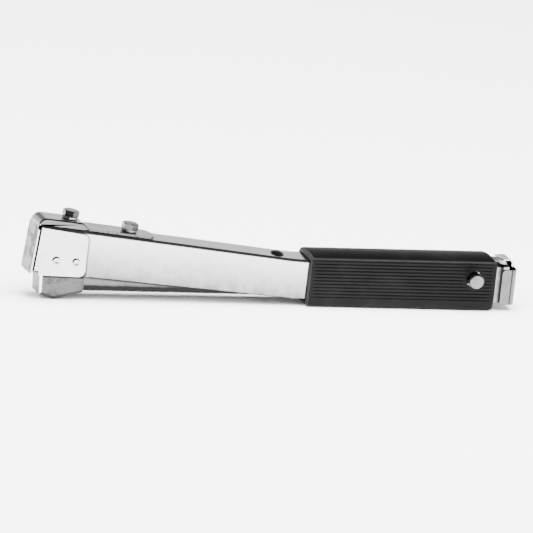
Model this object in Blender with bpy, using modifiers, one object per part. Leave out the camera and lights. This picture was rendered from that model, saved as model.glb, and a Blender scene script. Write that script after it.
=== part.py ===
"""A hammer tacker: a struck stapler with a swinging magazine inside a sheet-steel handle.

X runs from the striking nose (-X) to the rear cap (+X), Y across, and Z up from the surface that the nose
and the grip stand on. Every length is in metres.
"""

from math import atan, cos, pi, radians, sin, tan

import bmesh
import bpy
from mathutils import Euler, Matrix, Vector

MM = 0.001
GAP = 0.3 * MM  # running clearance between neighbouring pieces
REST_GAP = 0.2 * MM  # under a head or a washer that is clamped down

# Handle body: one folded channel, open below, that rises towards the head
BODY_WIDTH = 22.2 * MM
BODY_WALL = 1.2 * MM
BODY_BEND = 2.0 * MM
BODY_REAR = 164.0 * MM
BODY_FLAT_TOP = 31.3 * MM
BODY_FLAT_BOTTOM = 4.9 * MM
TOP_BREAK = 16.8 * MM  # where the sloping top meets the level top
TOP_SLOPE = 0.1072
BOTTOM_BREAK = 12.0 * MM
BOTTOM_SLOPE = 0.0783
BODY_SLOPE_ANGLE = atan(TOP_SLOPE)
FRONT_AT_20 = -171.1 * MM  # the cover's front face, 20 mm above the ground
FRONT_LEAN = 0.082

# Head cover: a bent sheet round the front of the body, with a raised pad over the driver
COVER_WIDTH = 24.4 * MM
COVER_WALL = 0.8 * MM
COVER_BEND = 2.4 * MM
COVER_REAR = -133.5 * MM
COVER_BELOW_TOP = 2.1 * MM
COVER_FRONT_LOW = 17.2 * MM
COVER_FRONT_HIGH = 50.2 * MM
PAD_WIDTH = 18.0 * MM
PAD_HEIGHT = 4.9 * MM
PAD_REAR = -133.8 * MM
PAD_BEND = 6.0 * MM
RIVET_PLACES = [(-154.6 * MM, 27.5 * MM), (-140.6 * MM, 26.6 * MM)]
RIVET_HEAD = 2.8 * MM
RIVET_SHANK = 1.6 * MM

# Driver: a spring-steel leaf clamped on top, whose front end turns down into the nose
LEAF_THICK = 1.3 * MM
LEAF_RISE = 0.95 * MM  # middle of the leaf above the body's top
LEAF_WIDTH = PAD_WIDTH
LEAF_REAR = -86.0 * MM
BLADE_WIDTH = 10.6 * MM
BLADE_TIP = (-160.6 * MM, 18.6 * MM)
BLADE_LEAN = 0.0489
CLAMP_SCREW_X = -144.9 * MM
STRAP_SCREW_X = -102.2 * MM
SCREW_RADIUS = 3.0 * MM
SCREW_HOLE = 3.3 * MM
HEX_RADIUS = 5.8 * MM
HEX_HEIGHT = 4.0 * MM
WASHER_RADIUS = 5.3 * MM
WASHER_THICK = 1.5 * MM
NUT_PLATE_THICK = 3.2 * MM
NUT_PLATE_FRONT = -151.0 * MM
NUT_PLATE_REAR = -94.0 * MM
NUT_PLATE_WIDTH = 16.0 * MM
BUMPER_X = -122.0 * MM

# Return spring: a leaf riveted under the top, pressing on the magazine
SPRING_RIVET_X = 3.4 * MM
SPRING_THICK = 1.2 * MM
SPRING_WIDTH = 12.0 * MM
SPRING_CONTACT_X = -98.0 * MM

# Grip sleeve over the level end of the handle
GRIP_FRONT = 23.0 * MM
GRIP_REAR = 155.0 * MM
GRIP_WIDTH = 28.0 * MM
GRIP_TOP = 35.1 * MM
GRIP_CROWN = 1.5 * MM  # radius of its long top edges
GRIP_FLOOR = 2.8 * MM

# Magazine, which swings about the pivot pin
PIVOT_X = 139.6 * MM
PIVOT_Z = 21.4 * MM
PIN_RADIUS = 3.0 * MM
PIN_HOLE = 3.3 * MM
PIN_HEAD_RADIUS = 5.0 * MM
PIN_REACH = 19.5 * MM
MAG_WIDTH = 16.6 * MM
MAG_WALL = 1.0 * MM
MAG_BEND = 2.3 * MM
MAG_BOTTOM = 5.6 * MM
MAG_TOP = 17.8 * MM
MAG_FRONT = -158.5 * MM
MAG_REAR = 158.0 * MM
LID_THICK = 0.9 * MM
LID_REAR = 125.0 * MM
NOSE_WIDTH = 18.8 * MM
NOSE_TOP = 26.0 * MM
NOSE_REAR = -132.4 * MM
NOSE_LEAN = 0.06
SLOT_FRONT = -161.6 * MM
SLOT_REAR = -159.1 * MM
STAPLE_WIRE = 1.25 * MM
STAPLE_TOP = 17.4 * MM
STAPLE_FOOT = 7.0 * MM
STRIP_FRONT = -158.9 * MM
STRIP_LENGTH = 100.0 * MM
RAIL_WIDTH = 7.4 * MM
RAIL_WALL = 0.9 * MM
RAIL_TOP = 15.6 * MM

# Follower: a rod with the pusher and its spring, drawn out by the rear cap
ROD_Z = 12.0 * MM
ROD_RADIUS = 1.5 * MM
ROD_HOLE = 1.8 * MM
ROD_FRONT = -152.0 * MM
PUSHER_LENGTH = 18.0 * MM
COLLAR_X = 60.0 * MM
COLLAR_LENGTH = 4.0 * MM
CAP_FRONT = 159.5 * MM
CAP_REAR = 170.5 * MM
CAP_BOTTOM = 3.9 * MM
CAP_TOP = 28.0 * MM
CAP_WALL = 0.8 * MM
CAP_WIDTH = 24.4 * MM
CAP_BEND = 4.5 * MM
LATCH_X = 167.6 * MM
LATCH_Z = 21.0 * MM
LATCH_WIDTH = 13.0 * MM
LATCH_THICK = 0.8 * MM

ROUND = 24  # sides of a turned piece
ARC_STEPS = 5  # straight steps in an outline's arc

CHROME = ("chrome", (0.78, 0.78, 0.78), 0.12, 1.0)
NOSE_STEEL = ("nose_steel", (0.42, 0.42, 0.42), 0.35, 1.0)
SHEET_STEEL = ("sheet_steel", (0.5, 0.5, 0.5), 0.3, 1.0)
SPRING_STEEL = ("spring_steel", (0.25, 0.25, 0.27), 0.35, 1.0)
ZINC = ("zinc_plate", (0.55, 0.55, 0.54), 0.28, 1.0)
STAPLE_STEEL = ("staple_steel", (0.6, 0.6, 0.58), 0.3, 1.0)
BLACK_RUBBER = ("black_rubber", (0.02, 0.02, 0.022), 0.55, 0.0)
BRONZE = ("bush_bronze", (0.5, 0.33, 0.14), 0.35, 1.0)


def clear_scene():
    for obj in list(bpy.data.objects):
        bpy.data.objects.remove(obj, do_unlink=True)


def collection(name):
    made = bpy.data.collections.new(name)
    bpy.context.scene.collection.children.link(made)
    return made


def material(finish):
    name, colour, roughness, metallic = finish
    made = bpy.data.materials.get(name)
    if made is None:
        made = bpy.data.materials.new(name)
        made.use_nodes = True
        shader = made.node_tree.nodes["Principled BSDF"]
        shader.inputs["Base Color"].default_value = (*colour, 1.0)
        shader.inputs["Roughness"].default_value = roughness
        shader.inputs["Metallic"].default_value = metallic
        made.diffuse_color = (*colour, 1.0)
    return made


def joint_empty(name, place, parent=None):
    """An empty on a joint's axis, which the pieces of the moving body are parented to."""
    empty = bpy.data.objects.new(name, None)
    PARTS.objects.link(empty)
    empty.location = place
    bpy.context.view_layer.update()
    if parent:
        attach(empty, parent)
    return empty


def attach(obj, parent):
    bpy.context.view_layer.update()
    obj.parent = parent
    obj.matrix_parent_inverse = parent.matrix_world.inverted()


def piece(name, mesh, finish, parent=None):
    obj = bpy.data.objects.new(name, mesh)
    PARTS.objects.link(obj)
    if finish:
        mesh.materials.append(material(finish))
    if parent:
        attach(obj, parent)
    return obj


def body_top(x):
    """Height of the body's top at a station: a slope that runs into the level part."""
    return BODY_FLAT_TOP + max(0.0, TOP_BREAK - x) * TOP_SLOPE


def body_bottom(x):
    return BODY_FLAT_BOTTOM + max(0.0, BOTTOM_BREAK - x) * BOTTOM_SLOPE


def front_face(z):
    """X of the head cover's front face at a height."""
    return FRONT_AT_20 + (z - 20 * MM) * FRONT_LEAN


def rounded(corners):
    """An outline from (x, z) or (x, z, radius) corners, with each radius turned into a short arc."""
    made = []
    for index, corner in enumerate(corners):
        here = Vector(corner[:2])
        if len(corner) == 2:
            made.append(tuple(here))
            continue
        before = Vector(corners[index - 1][:2]) - here
        after = Vector(corners[(index + 1) % len(corners)][:2]) - here
        half = before.angle(after) / 2
        reach = corner[2] / tan(half)
        start = here + before.normalized() * reach
        end = here + after.normalized() * reach
        inward = (before.normalized() + after.normalized()).normalized()
        centre = here + inward * corner[2] / sin(half)
        for step in range(ARC_STEPS + 1):
            point = start.lerp(end, step / ARC_STEPS)
            made.append(tuple(centre + (point - centre).normalized() * corner[2]))
    return made


def strip_outline(path, thickness):
    """The outline of a bent strip, seen on its edge: the path moved half its thickness to each side."""
    points = [Vector(point) for point in path]
    left, right = [], []
    for index, here in enumerate(points):
        before = (here - points[index - 1]).normalized() if index else None
        after = (points[index + 1] - here).normalized() if index + 1 < len(points) else None
        along = ((before or after) + (after or before)).normalized()
        across = Vector((-along.y, along.x))
        stretch = 1 / max(0.3, across.dot(Vector((-(after or before).y, (after or before).x))))
        left.append(tuple(here + across * thickness / 2 * stretch))
        right.append(tuple(here - across * thickness / 2 * stretch))
    return left + right[::-1]


def plate(name, outline, thickness, finish, parent=None, y=0.0):
    """A flat outline in X and Z, as thick as given, centred on the plane Y = y."""
    curve = bpy.data.curves.new(name, "CURVE")
    curve.dimensions = "2D"
    curve.fill_mode = "BOTH"
    curve.extrude = thickness / 2
    spline = curve.splines.new("POLY")
    spline.points.add(len(outline) - 1)
    for point, (x, z) in zip(spline.points, outline):
        point.co = (x, z, 0.0, 1.0)
    spline.use_cyclic_u = True
    guide = bpy.data.objects.new(name + "_outline", curve)
    guide.location.y = y
    guide.rotation_euler = (pi / 2, 0.0, 0.0)
    bpy.context.scene.collection.objects.link(guide)
    bpy.context.view_layer.update()
    mesh = bpy.data.meshes.new_from_object(guide.evaluated_get(bpy.context.evaluated_depsgraph_get()))
    place = guide.matrix_world.copy()
    bpy.data.objects.remove(guide)
    build = bmesh.new()
    build.from_mesh(mesh)
    bmesh.ops.transform(build, matrix=place, verts=build.verts)
    bmesh.ops.remove_doubles(build, verts=build.verts, dist=0.001 * MM)
    bmesh.ops.dissolve_limit(build, angle_limit=radians(0.5), verts=build.verts, edges=build.edges)
    bmesh.ops.recalc_face_normals(build, faces=build.faces)
    build.to_mesh(mesh)
    build.free()
    mesh.name = name
    return piece(name, mesh, finish, parent)


def bevel(obj, width, segments=3, angle=40.0, wanted=None):
    """Rounds the sharp edges, or only the edges that wanted() picks."""
    if wanted:
        build = bmesh.new()
        build.from_mesh(obj.data)
        weight = build.edges.layers.float.new("bevel_weight_edge")
        for edge in build.edges:
            edge[weight] = 1.0 if wanted(edge) else 0.0
        build.to_mesh(obj.data)
        build.free()
    made = obj.modifiers.new("Rounded edges", "BEVEL")
    made.width = width
    made.segments = segments
    made.limit_method = "WEIGHT" if wanted else "ANGLE"
    made.angle_limit = radians(angle)
    made.use_clamp_overlap = True
    return made


def folded_sheet(name, outline, width, wall, bend, kept, finish, parent=None):
    """A bent sheet: the outline's solid, left open where kept() says no, rounded and thickened inwards."""
    obj = plate(name, outline, width, finish, parent)
    build = bmesh.new()
    build.from_mesh(obj.data)
    opened = [face for face in build.faces if not kept(face.normal, face.calc_center_median())]
    bmesh.ops.delete(build, geom=opened, context="FACES")
    build.to_mesh(obj.data)
    build.free()
    if bend:
        bevel(obj, bend, segments=4, angle=50.0)
    sheet = obj.modifiers.new("Sheet", "SOLIDIFY")
    sheet.thickness = wall
    sheet.offset = -1.0
    sheet.use_even_offset = True
    return obj


def cutter(name, mesh):
    obj = bpy.data.objects.new(name, mesh)
    CUTTERS.objects.link(obj)
    obj.hide_render = True
    obj.display_type = "WIRE"
    return obj


def cut(target, tool, operation="DIFFERENCE"):
    made = target.modifiers.new(tool.name, "BOOLEAN")
    made.operation = operation
    made.object = tool
    made.solver = "EXACT"


def box_mesh(name, low, high):
    build = bmesh.new()
    bmesh.ops.create_cube(build, size=1.0)
    size = Vector(high) - Vector(low)
    middle = (Vector(high) + Vector(low)) / 2
    place = Matrix.Translation(middle) @ Matrix.Diagonal((*size, 1.0))
    bmesh.ops.transform(build, matrix=place, verts=build.verts)
    mesh = bpy.data.meshes.new(name)
    build.to_mesh(mesh)
    build.free()
    return mesh


def cut_box(target, name, low, high):
    cut(target, cutter(f"{target.name}_{name}", box_mesh(name, low, high)))


def round_mesh(name, radius, length, turn, place, sides=ROUND):
    """A cylinder along its own Z, turned and placed by its middle."""
    build = bmesh.new()
    bmesh.ops.create_cone(build, cap_ends=True, segments=sides, radius1=radius, radius2=radius, depth=length)
    matrix = Matrix.Translation(place) @ Euler(turn).to_matrix().to_4x4()
    bmesh.ops.transform(build, matrix=matrix, verts=build.verts)
    mesh = bpy.data.meshes.new(name)
    build.to_mesh(mesh)
    build.free()
    return mesh


ACROSS = (pi / 2, 0.0, 0.0)  # a turned piece's +Z points to -Y
ACROSS_FAR = (-pi / 2, 0.0, 0.0)
LENGTHWISE = (0.0, pi / 2, 0.0)  # +Z points to +X
SQUARE_TO_TOP = (0.0, BODY_SLOPE_ANGLE, 0.0)


def drill(target, name, radius, length, turn, place):
    cut(target, cutter(f"{target.name}_{name}", round_mesh(name, radius, length, turn, place)))


def turned(name, profile, turn, place, finish, parent=None, sides=ROUND, closed=False):
    """A turned piece. The profile is (radius, height), run down its outer side."""
    mesh = bpy.data.meshes.new(name)
    build = bmesh.new()
    corners = [build.verts.new((radius, 0.0, height)) for radius, height in profile]
    for first, second in zip(corners, corners[1:]):
        build.edges.new((first, second))
    if closed:
        build.edges.new((corners[-1], corners[0]))
    build.to_mesh(mesh)
    build.free()
    obj = piece(name, mesh, finish)
    obj.rotation_euler = turn
    obj.location = place
    lathe = obj.modifiers.new("Turned", "SCREW")
    lathe.steps = sides
    lathe.render_steps = sides
    lathe.use_merge_vertices = True
    lathe.merge_threshold = 0.00001
    lathe.use_smooth_shade = True
    if parent:
        attach(obj, parent)
    return obj


def ring(name, hole, radius, thickness, turn, place, finish, parent=None):
    low, high = -thickness / 2, thickness / 2
    profile = [(hole, high), (radius, high), (radius, low), (hole, low)]
    return turned(name, profile, turn, place, finish, parent, closed=True)


def off_top(x, height):
    """A point above the sloping top, measured square to it from station x on the middle line."""
    lift = Vector((sin(BODY_SLOPE_ANGLE), 0.0, cos(BODY_SLOPE_ANGLE))) * height
    return Vector((x, 0.0, body_top(x))) + lift


def drill_top(target, name, radius, x):
    drill(target, name, radius, 24 * MM, SQUARE_TO_TOP, off_top(x, 0.0))


def drill_across(target, name, radius, x, z):
    drill(target, name, radius, 60 * MM, ACROSS, (x, 0.0, z))


def make_body():
    behind_cover = COVER_WALL + 1.6 * MM
    front_low = front_face(body_bottom(-170 * MM)) + behind_cover
    front_high = front_face(body_top(-167 * MM)) + behind_cover
    corners = [
        (front_low, body_bottom(front_low)),
        (BOTTOM_BREAK, BODY_FLAT_BOTTOM),
        (BODY_REAR, BODY_FLAT_BOTTOM),
        (BODY_REAR, BODY_FLAT_TOP),
        (TOP_BREAK, BODY_FLAT_TOP, 170 * MM),
        (front_high, body_top(front_high)),
    ]

    def kept(normal, middle):
        return normal.z > 0.5 or abs(normal.y) > 0.5

    body = folded_sheet("body_channel", rounded(corners), BODY_WIDTH, BODY_WALL, BODY_BEND, kept, CHROME)
    drill_top(body, "clamp_hole", SCREW_HOLE, CLAMP_SCREW_X)
    drill_top(body, "strap_hole", SCREW_HOLE, STRAP_SCREW_X)
    drill_top(body, "spring_hole", 2.8 * MM, SPRING_RIVET_X)
    drill_across(body, "pivot_hole", PIN_HOLE, PIVOT_X, PIVOT_Z)
    for number, (x, z) in enumerate(RIVET_PLACES):
        drill_across(body, f"rivet_hole_{number}", RIVET_SHANK + GAP, x, z)
    half = BLADE_WIDTH / 2 + 0.9 * MM
    cut_box(body, "blade_slot", (-0.18, -half, 45 * MM), (-156.2 * MM, half, 60 * MM))
    return body


def make_head_cover():
    rear_low, rear_high = body_bottom(COVER_REAR), body_top(COVER_REAR) - COVER_BELOW_TOP
    flange = [
        (front_face(COVER_FRONT_LOW), COVER_FRONT_LOW),
        (COVER_REAR, rear_low, 4.5 * MM),
        (COVER_REAR, rear_high, 4 * MM),
        (front_face(COVER_FRONT_HIGH), COVER_FRONT_HIGH),
    ]

    def kept(normal, middle):
        return abs(normal.y) > 0.5 or (normal.x < -0.9 and middle.x < -0.16)

    cover = folded_sheet("head_cover", rounded(flange), COVER_WIDTH, COVER_WALL, COVER_BEND, kept, CHROME)

    pad_front = 0.1 * MM
    inner_x = -167.7 * MM
    neck_low = 47 * MM
    neck_high = body_top(-0.16) + PAD_HEIGHT + 0.8 * MM
    pad = [
        (front_face(neck_low) + pad_front, neck_low),
        (inner_x, neck_low),
        (inner_x, body_top(inner_x) + GAP),
        (PAD_REAR - 2.4 * MM, body_top(PAD_REAR - 2.4 * MM) + GAP),
        (PAD_REAR, body_top(PAD_REAR) + LEAF_THICK + 4 * GAP),
        (PAD_REAR - 3.5 * MM, body_top(PAD_REAR - 3.5 * MM) + PAD_HEIGHT, 3 * MM),
        (front_face(neck_high) + pad_front, neck_high, PAD_BEND),
    ]

    def pad_kept(normal, middle):
        outside = normal.z > 0.2 or (normal.x < -0.6 and middle.x < -0.16)
        return abs(normal.y) > 0.5 or outside

    raised = folded_sheet("pad_shell", rounded(pad), PAD_WIDTH, COVER_WALL, 0.0, pad_kept, None)
    PARTS.objects.unlink(raised)
    CUTTERS.objects.link(raised)
    raised.hide_render = True
    raised.display_type = "WIRE"
    cut(cover, raised, "UNION")

    drill_top(cover, "clamp_hole", SCREW_HOLE, CLAMP_SCREW_X)
    for number, (x, z) in enumerate(RIVET_PLACES):
        drill_across(cover, f"rivet_hole_{number}", RIVET_SHANK + GAP, x, z)
    for side in (-1, 1):
        place = (-170 * MM, side * COVER_WIDTH / 2, COVER_FRONT_LOW - 1.2 * MM)
        corner = round_mesh(f"corner_{side}", 4.4 * MM, 8 * MM, LENGTHWISE, place, sides=4)
        cut(cover, cutter(f"head_cover_corner_{side}", corner))
    return cover


def make_cover_rivets():
    """A domed head outside, with a shank that ends flush with the body's inner face."""
    reach = COVER_WIDTH / 2 - (BODY_WIDTH / 2 - BODY_WALL)
    dome = [(RIVET_HEAD * sin(angle), REST_GAP + MM * cos(angle)) for angle in (0.0, 0.5, 1.0, 1.35)]
    profile = dome + [(RIVET_HEAD, REST_GAP), (RIVET_SHANK, REST_GAP), (RIVET_SHANK, -reach), (0.0, -reach)]
    for side, label, turn in ((-1, "near", ACROSS), (1, "far", ACROSS_FAR)):
        for end, (x, z) in zip(("front", "rear"), RIVET_PLACES):
            place = (x, side * COVER_WIDTH / 2, z)
            turned(f"cover_rivet_{label}_{end}", profile, turn, place, CHROME, sides=16)


def make_driver():
    """The leaf lies on the body's top, and its front end turns down as the driver blade."""
    corner_z = body_top(-0.159) + LEAF_RISE
    corner_x = BLADE_TIP[0] + (corner_z - BLADE_TIP[1]) * BLADE_LEAN
    path = [
        (LEAF_REAR, body_top(LEAF_REAR) + LEAF_RISE),
        (corner_x, body_top(corner_x) + LEAF_RISE, 2.4 * MM),
        BLADE_TIP,
    ]
    blade = plate("driver_blade", strip_outline(rounded(path), LEAF_THICK), LEAF_WIDTH, SPRING_STEEL)
    for side in (-1, 1):
        under_pad, outside = side * (PAD_WIDTH / 2 - 1.2 * MM), side * 20 * MM
        low, high = sorted((under_pad, outside))
        cut_box(blade, f"neck_{side}", (-0.18, low, 0.0), (PAD_REAR + 0.6 * MM, high, 0.07))
        low, high = sorted((side * BLADE_WIDTH / 2, outside))
        cut_box(blade, f"blade_{side}", (-0.18, low, 0.0), (-156.6 * MM, high, 0.07))
    drill_top(blade, "clamp_hole", SCREW_HOLE, CLAMP_SCREW_X)
    drill_top(blade, "strap_hole", SCREW_HOLE, STRAP_SCREW_X)
    return blade


def sloped_plate(name, front, rear, low, high, width, finish):
    """A flat plate that follows the sloping top, between two heights above it."""
    outline = [
        (front, body_top(front) + low),
        (rear, body_top(rear) + low),
        (rear, body_top(rear) + high),
        (front, body_top(front) + high),
    ]
    return plate(name, outline, width, finish)


def make_clamp():
    low = LEAF_RISE + LEAF_THICK / 2 + GAP
    high = PAD_HEIGHT - COVER_WALL - GAP
    block = sloped_plate("clamp_block", -155.5 * MM, -137.5 * MM, low, high, 15.4 * MM, SHEET_STEEL)
    drill_top(block, "clamp_hole", SCREW_HOLE, CLAMP_SCREW_X)

    under = -(BODY_WALL + GAP)
    span = (NUT_PLATE_FRONT, NUT_PLATE_REAR, under - NUT_PLATE_THICK, under)
    nut_plate = sloped_plate("nut_plate", *span, NUT_PLATE_WIDTH, SHEET_STEEL)
    drill_top(nut_plate, "clamp_hole", SCREW_HOLE, CLAMP_SCREW_X)
    drill_top(nut_plate, "strap_hole", SCREW_HOLE, STRAP_SCREW_X)
    drill_top(nut_plate, "bumper_hole", 2.3 * MM, BUMPER_X)


def make_hex_screw(name, x, seat):
    """A hex screw and its split lock washer, standing on a seat above the sloping top."""
    washer_low = seat + REST_GAP
    head_low = washer_low + WASHER_THICK + REST_GAP
    washer = ring(
        f"{name}_washer", SCREW_HOLE, WASHER_RADIUS, WASHER_THICK, SQUARE_TO_TOP,
        off_top(x, washer_low + WASHER_THICK / 2), ZINC,
    )
    split = off_top(x, 0.0)
    low, high = split + Vector((0.0, 0.0, -5 * MM)), split + Vector((0.8 * MM, 10 * MM, 15 * MM))
    cut_box(washer, "split", low, high)
    shank_end = -(BODY_WALL + GAP + NUT_PLATE_THICK + 1.2 * MM)
    head_middle = head_low + HEX_HEIGHT / 2
    head = round_mesh(name, HEX_RADIUS, HEX_HEIGHT, SQUARE_TO_TOP, off_top(x, head_middle), sides=6)
    screw = piece(name, head, ZINC)
    length = head_middle - shank_end
    shank = round_mesh(name, SCREW_RADIUS, length, SQUARE_TO_TOP, off_top(x, shank_end + length / 2))
    cut(screw, cutter(f"{name}_shank", shank), "UNION")
    return screw


def make_bumper():
    """A rubber stop whose stem sits in the nut plate."""
    face = -(BODY_WALL + NUT_PLATE_THICK + 2 * GAP)
    length = 8.2 * MM
    profile = [
        (0.0, face + 3.2 * MM),
        (2.0 * MM, face + 3.2 * MM),
        (2.0 * MM, face),
        (6.0 * MM, face),
        (6.0 * MM, face - length + 1.0 * MM),
        (5.0 * MM, face - length),
        (0.0, face - length),
    ]
    turned("bumper", profile, SQUARE_TO_TOP, off_top(BUMPER_X, 0.0), BLACK_RUBBER, sides=20)


def make_return_spring():
    """A leaf that lies under the top at its rivet and bows down to press on the magazine's lid."""
    under = BODY_WALL + GAP + SPRING_THICK / 2
    lid_top = MAG_TOP + GAP + LID_THICK
    touch = lid_top + GAP + SPRING_THICK / 2
    path = [
        (10 * MM, body_top(10 * MM) - under),
        (-14 * MM, body_top(-14 * MM) - under, 30 * MM),
        (-78 * MM, touch + 2.8 * MM, 60 * MM),
        (SPRING_CONTACT_X, touch, 12 * MM),
        (-106 * MM, touch + 2.4 * MM),
    ]
    leaf = plate("return_spring", strip_outline(rounded(path), SPRING_THICK), SPRING_WIDTH, SPRING_STEEL)
    drill_top(leaf, "rivet_hole", 2.8 * MM, SPRING_RIVET_X)

    inner = -(BODY_WALL + GAP + SPRING_THICK + REST_GAP)
    head = [(4.8 * MM * sin(angle), REST_GAP + 1.5 * MM * cos(angle)) for angle in (0.0, 0.4, 0.8, 1.2)]
    profile = head + [
        (4.8 * MM, REST_GAP),
        (2.5 * MM, REST_GAP),
        (2.5 * MM, inner),
        (4.2 * MM, inner),
        (3.6 * MM, inner - 1.1 * MM),
        (0.0, inner - 1.1 * MM),
    ]
    turned("spring_rivet", profile, SQUARE_TO_TOP, off_top(SPRING_RIVET_X, 0.0), ZINC)


def make_grip():
    corners = [
        (GRIP_FRONT, 0.0, 2.0 * MM),
        (GRIP_REAR, 0.0, 3.0 * MM),
        (GRIP_REAR, GRIP_TOP, 3.0 * MM),
        (GRIP_FRONT, GRIP_TOP, 3.0 * MM),
    ]
    grip = plate("grip_sleeve", rounded(corners), GRIP_WIDTH, BLACK_RUBBER)

    def lengthwise(edge):
        first, second = edge.verts
        return abs((second.co - first.co).normalized().x) > 0.99

    bevel(grip, 2.6 * MM, segments=4, wanted=lambda edge: lengthwise(edge) and edge.verts[0].co.z < 1 * MM)
    bevel(
        grip, GRIP_CROWN, segments=4,
        wanted=lambda edge: lengthwise(edge) and edge.verts[0].co.z > GRIP_TOP - 1 * MM,
    )
    cavity = BODY_WIDTH / 2 + GAP
    beyond = 5 * MM
    low, high = (GRIP_FRONT - beyond, -cavity, GRIP_FLOOR), (GRIP_REAR + beyond, cavity, BODY_FLAT_TOP + GAP)
    cut_box(grip, "cavity", low, high)
    drill_across(grip, "pin_hole", PIN_HEAD_RADIUS + 0.5 * MM, PIVOT_X, PIVOT_Z)
    return grip


def make_pivot_pin():
    """A headed pin from the near side, and a barrel nut of the same size on the far side."""
    seat = BODY_WIDTH / 2 + GAP
    chamfer = 0.5 * MM
    stem = 1.9 * MM
    pin = [
        (0.0, PIN_REACH),
        (PIN_HEAD_RADIUS - chamfer, PIN_REACH),
        (PIN_HEAD_RADIUS, PIN_REACH - chamfer),
        (PIN_HEAD_RADIUS, seat),
        (PIN_RADIUS, seat),
        (PIN_RADIUS, -seat),
        (stem, -seat),
        (stem, -seat - 6 * MM),
        (0.0, -seat - 6 * MM),
    ]
    turned("pivot_pin", pin, ACROSS, (PIVOT_X, 0.0, PIVOT_Z), CHROME)
    nut = [
        (0.0, PIN_REACH),
        (PIN_HEAD_RADIUS - chamfer, PIN_REACH),
        (PIN_HEAD_RADIUS, PIN_REACH - chamfer),
        (PIN_HEAD_RADIUS, seat + GAP),
        (stem + GAP, seat + GAP),
        (stem + GAP, seat + 6.5 * MM),
        (0.0, seat + 6.5 * MM),
    ]
    turned("pin_nut", nut, ACROSS_FAR, (PIVOT_X, 0.0, PIVOT_Z), CHROME)


def make_nose(parent):
    """The guide that the blade comes down in, with a two-sided striking edge below."""
    low_front, keel, low_rear = (-162.7 * MM, 2.8 * MM), (-152.5 * MM, 0.0), (NOSE_REAR, MAG_BOTTOM - MM)
    front_high = low_front[0] - (NOSE_TOP - low_front[1]) * NOSE_LEAN
    outline = [low_front, keel, low_rear, (NOSE_REAR, NOSE_TOP), (front_high, NOSE_TOP)]
    nose = plate("nose", outline, NOSE_WIDTH, NOSE_STEEL, parent)

    def low_edge(edge):
        first, second = edge.verts
        along = (second.co - first.co).normalized()
        return abs(along.x) > 0.8 and max(first.co.z, second.co.z) < 6 * MM

    bevel(nose, 2.4 * MM, segments=3, wanted=low_edge)
    pocket = MAG_WIDTH / 2 + GAP
    beyond = 5 * MM
    low = (SLOT_REAR + 0.1 * MM, -pocket, MAG_BOTTOM - GAP)
    high = (NOSE_REAR + beyond, pocket, NOSE_TOP + beyond)
    cut_box(nose, "pocket", low, high)
    half = BLADE_WIDTH / 2 + 0.4 * MM
    low, high = (SLOT_FRONT, -half, -beyond), (SLOT_REAR + 0.2 * MM, half, NOSE_TOP + beyond)
    cut_box(nose, "blade_slot", low, high)
    return nose


def make_magazine(parent):
    ear_front, heel_front = PIVOT_X - 7 * MM, PIVOT_X + 8 * MM
    heel_rear, heel_top = PIVOT_X + 14 * MM, BODY_FLAT_TOP - BODY_WALL - 0.4 * MM
    outline = rounded([
        (MAG_FRONT, MAG_BOTTOM),
        (MAG_REAR, MAG_BOTTOM),
        (MAG_REAR, MAG_TOP, 2 * MM),
        (heel_rear, MAG_TOP),
        (heel_rear, heel_top, 1.5 * MM),
        (heel_front, heel_top, 2 * MM),
        (PIVOT_X + 3 * MM, PIVOT_Z + 6 * MM, 6 * MM),
        (ear_front + 1 * MM, PIVOT_Z + 6 * MM, 4 * MM),
        (ear_front - 4 * MM, MAG_TOP),
        (MAG_FRONT, MAG_TOP),
    ])

    def kept(normal, middle):
        return normal.z < -0.5 or abs(normal.y) > 0.5

    sheet = (MAG_WIDTH, MAG_WALL, MAG_BEND)
    channel = folded_sheet("magazine_channel", outline, *sheet, kept, SHEET_STEEL, parent)
    drill_across(channel, "pivot_hole", PIN_HOLE, PIVOT_X, PIVOT_Z)

    low = (MAG_FRONT + 0.1 * MM, -MAG_WIDTH / 2, MAG_TOP + GAP)
    high = (LID_REAR, MAG_WIDTH / 2, MAG_TOP + GAP + LID_THICK)
    lid = piece("magazine_lid", box_mesh("magazine_lid", low, high), SHEET_STEEL, parent)
    bevel(lid, 0.3 * MM, segments=1)

    bush_middle = (MAG_WIDTH / 2 + BODY_WIDTH / 2 - BODY_WALL) / 2
    for side, label in ((-1, "near"), (1, "far")):
        place = (PIVOT_X, side * bush_middle, PIVOT_Z)
        ring(f"pivot_bush_{label}", PIN_HOLE, 4.6 * MM, 1.0 * MM, ACROSS, place, BRONZE, parent)


def make_staples(parent):
    """The rail is a trough that carries the strip and lets the follower's rod run inside it."""
    rail_low = MAG_BOTTOM + MAG_WALL + GAP
    rear = PIVOT_X + 2 * MM
    outline = [
        (MAG_FRONT, rail_low),
        (rear, rail_low),
        (rear, RAIL_TOP),
        (MAG_FRONT, RAIL_TOP),
    ]

    def kept(normal, middle):
        return normal.z < -0.5 or abs(normal.y) > 0.5

    folded_sheet("staple_rail", outline, RAIL_WIDTH, RAIL_WALL, 0.0, kept, SHEET_STEEL, parent)

    rear = STRIP_FRONT + STRIP_LENGTH
    outline = [(STRIP_FRONT, STAPLE_FOOT), (rear, STAPLE_FOOT), (rear, STAPLE_TOP), (STRIP_FRONT, STAPLE_TOP)]

    def strip_kept(normal, middle):
        return normal.z > 0.5 or abs(normal.y) > 0.5

    folded_sheet("staple_strip", outline, BLADE_WIDTH, STAPLE_WIRE, 0.0, strip_kept, STAPLE_STEEL, parent)


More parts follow.
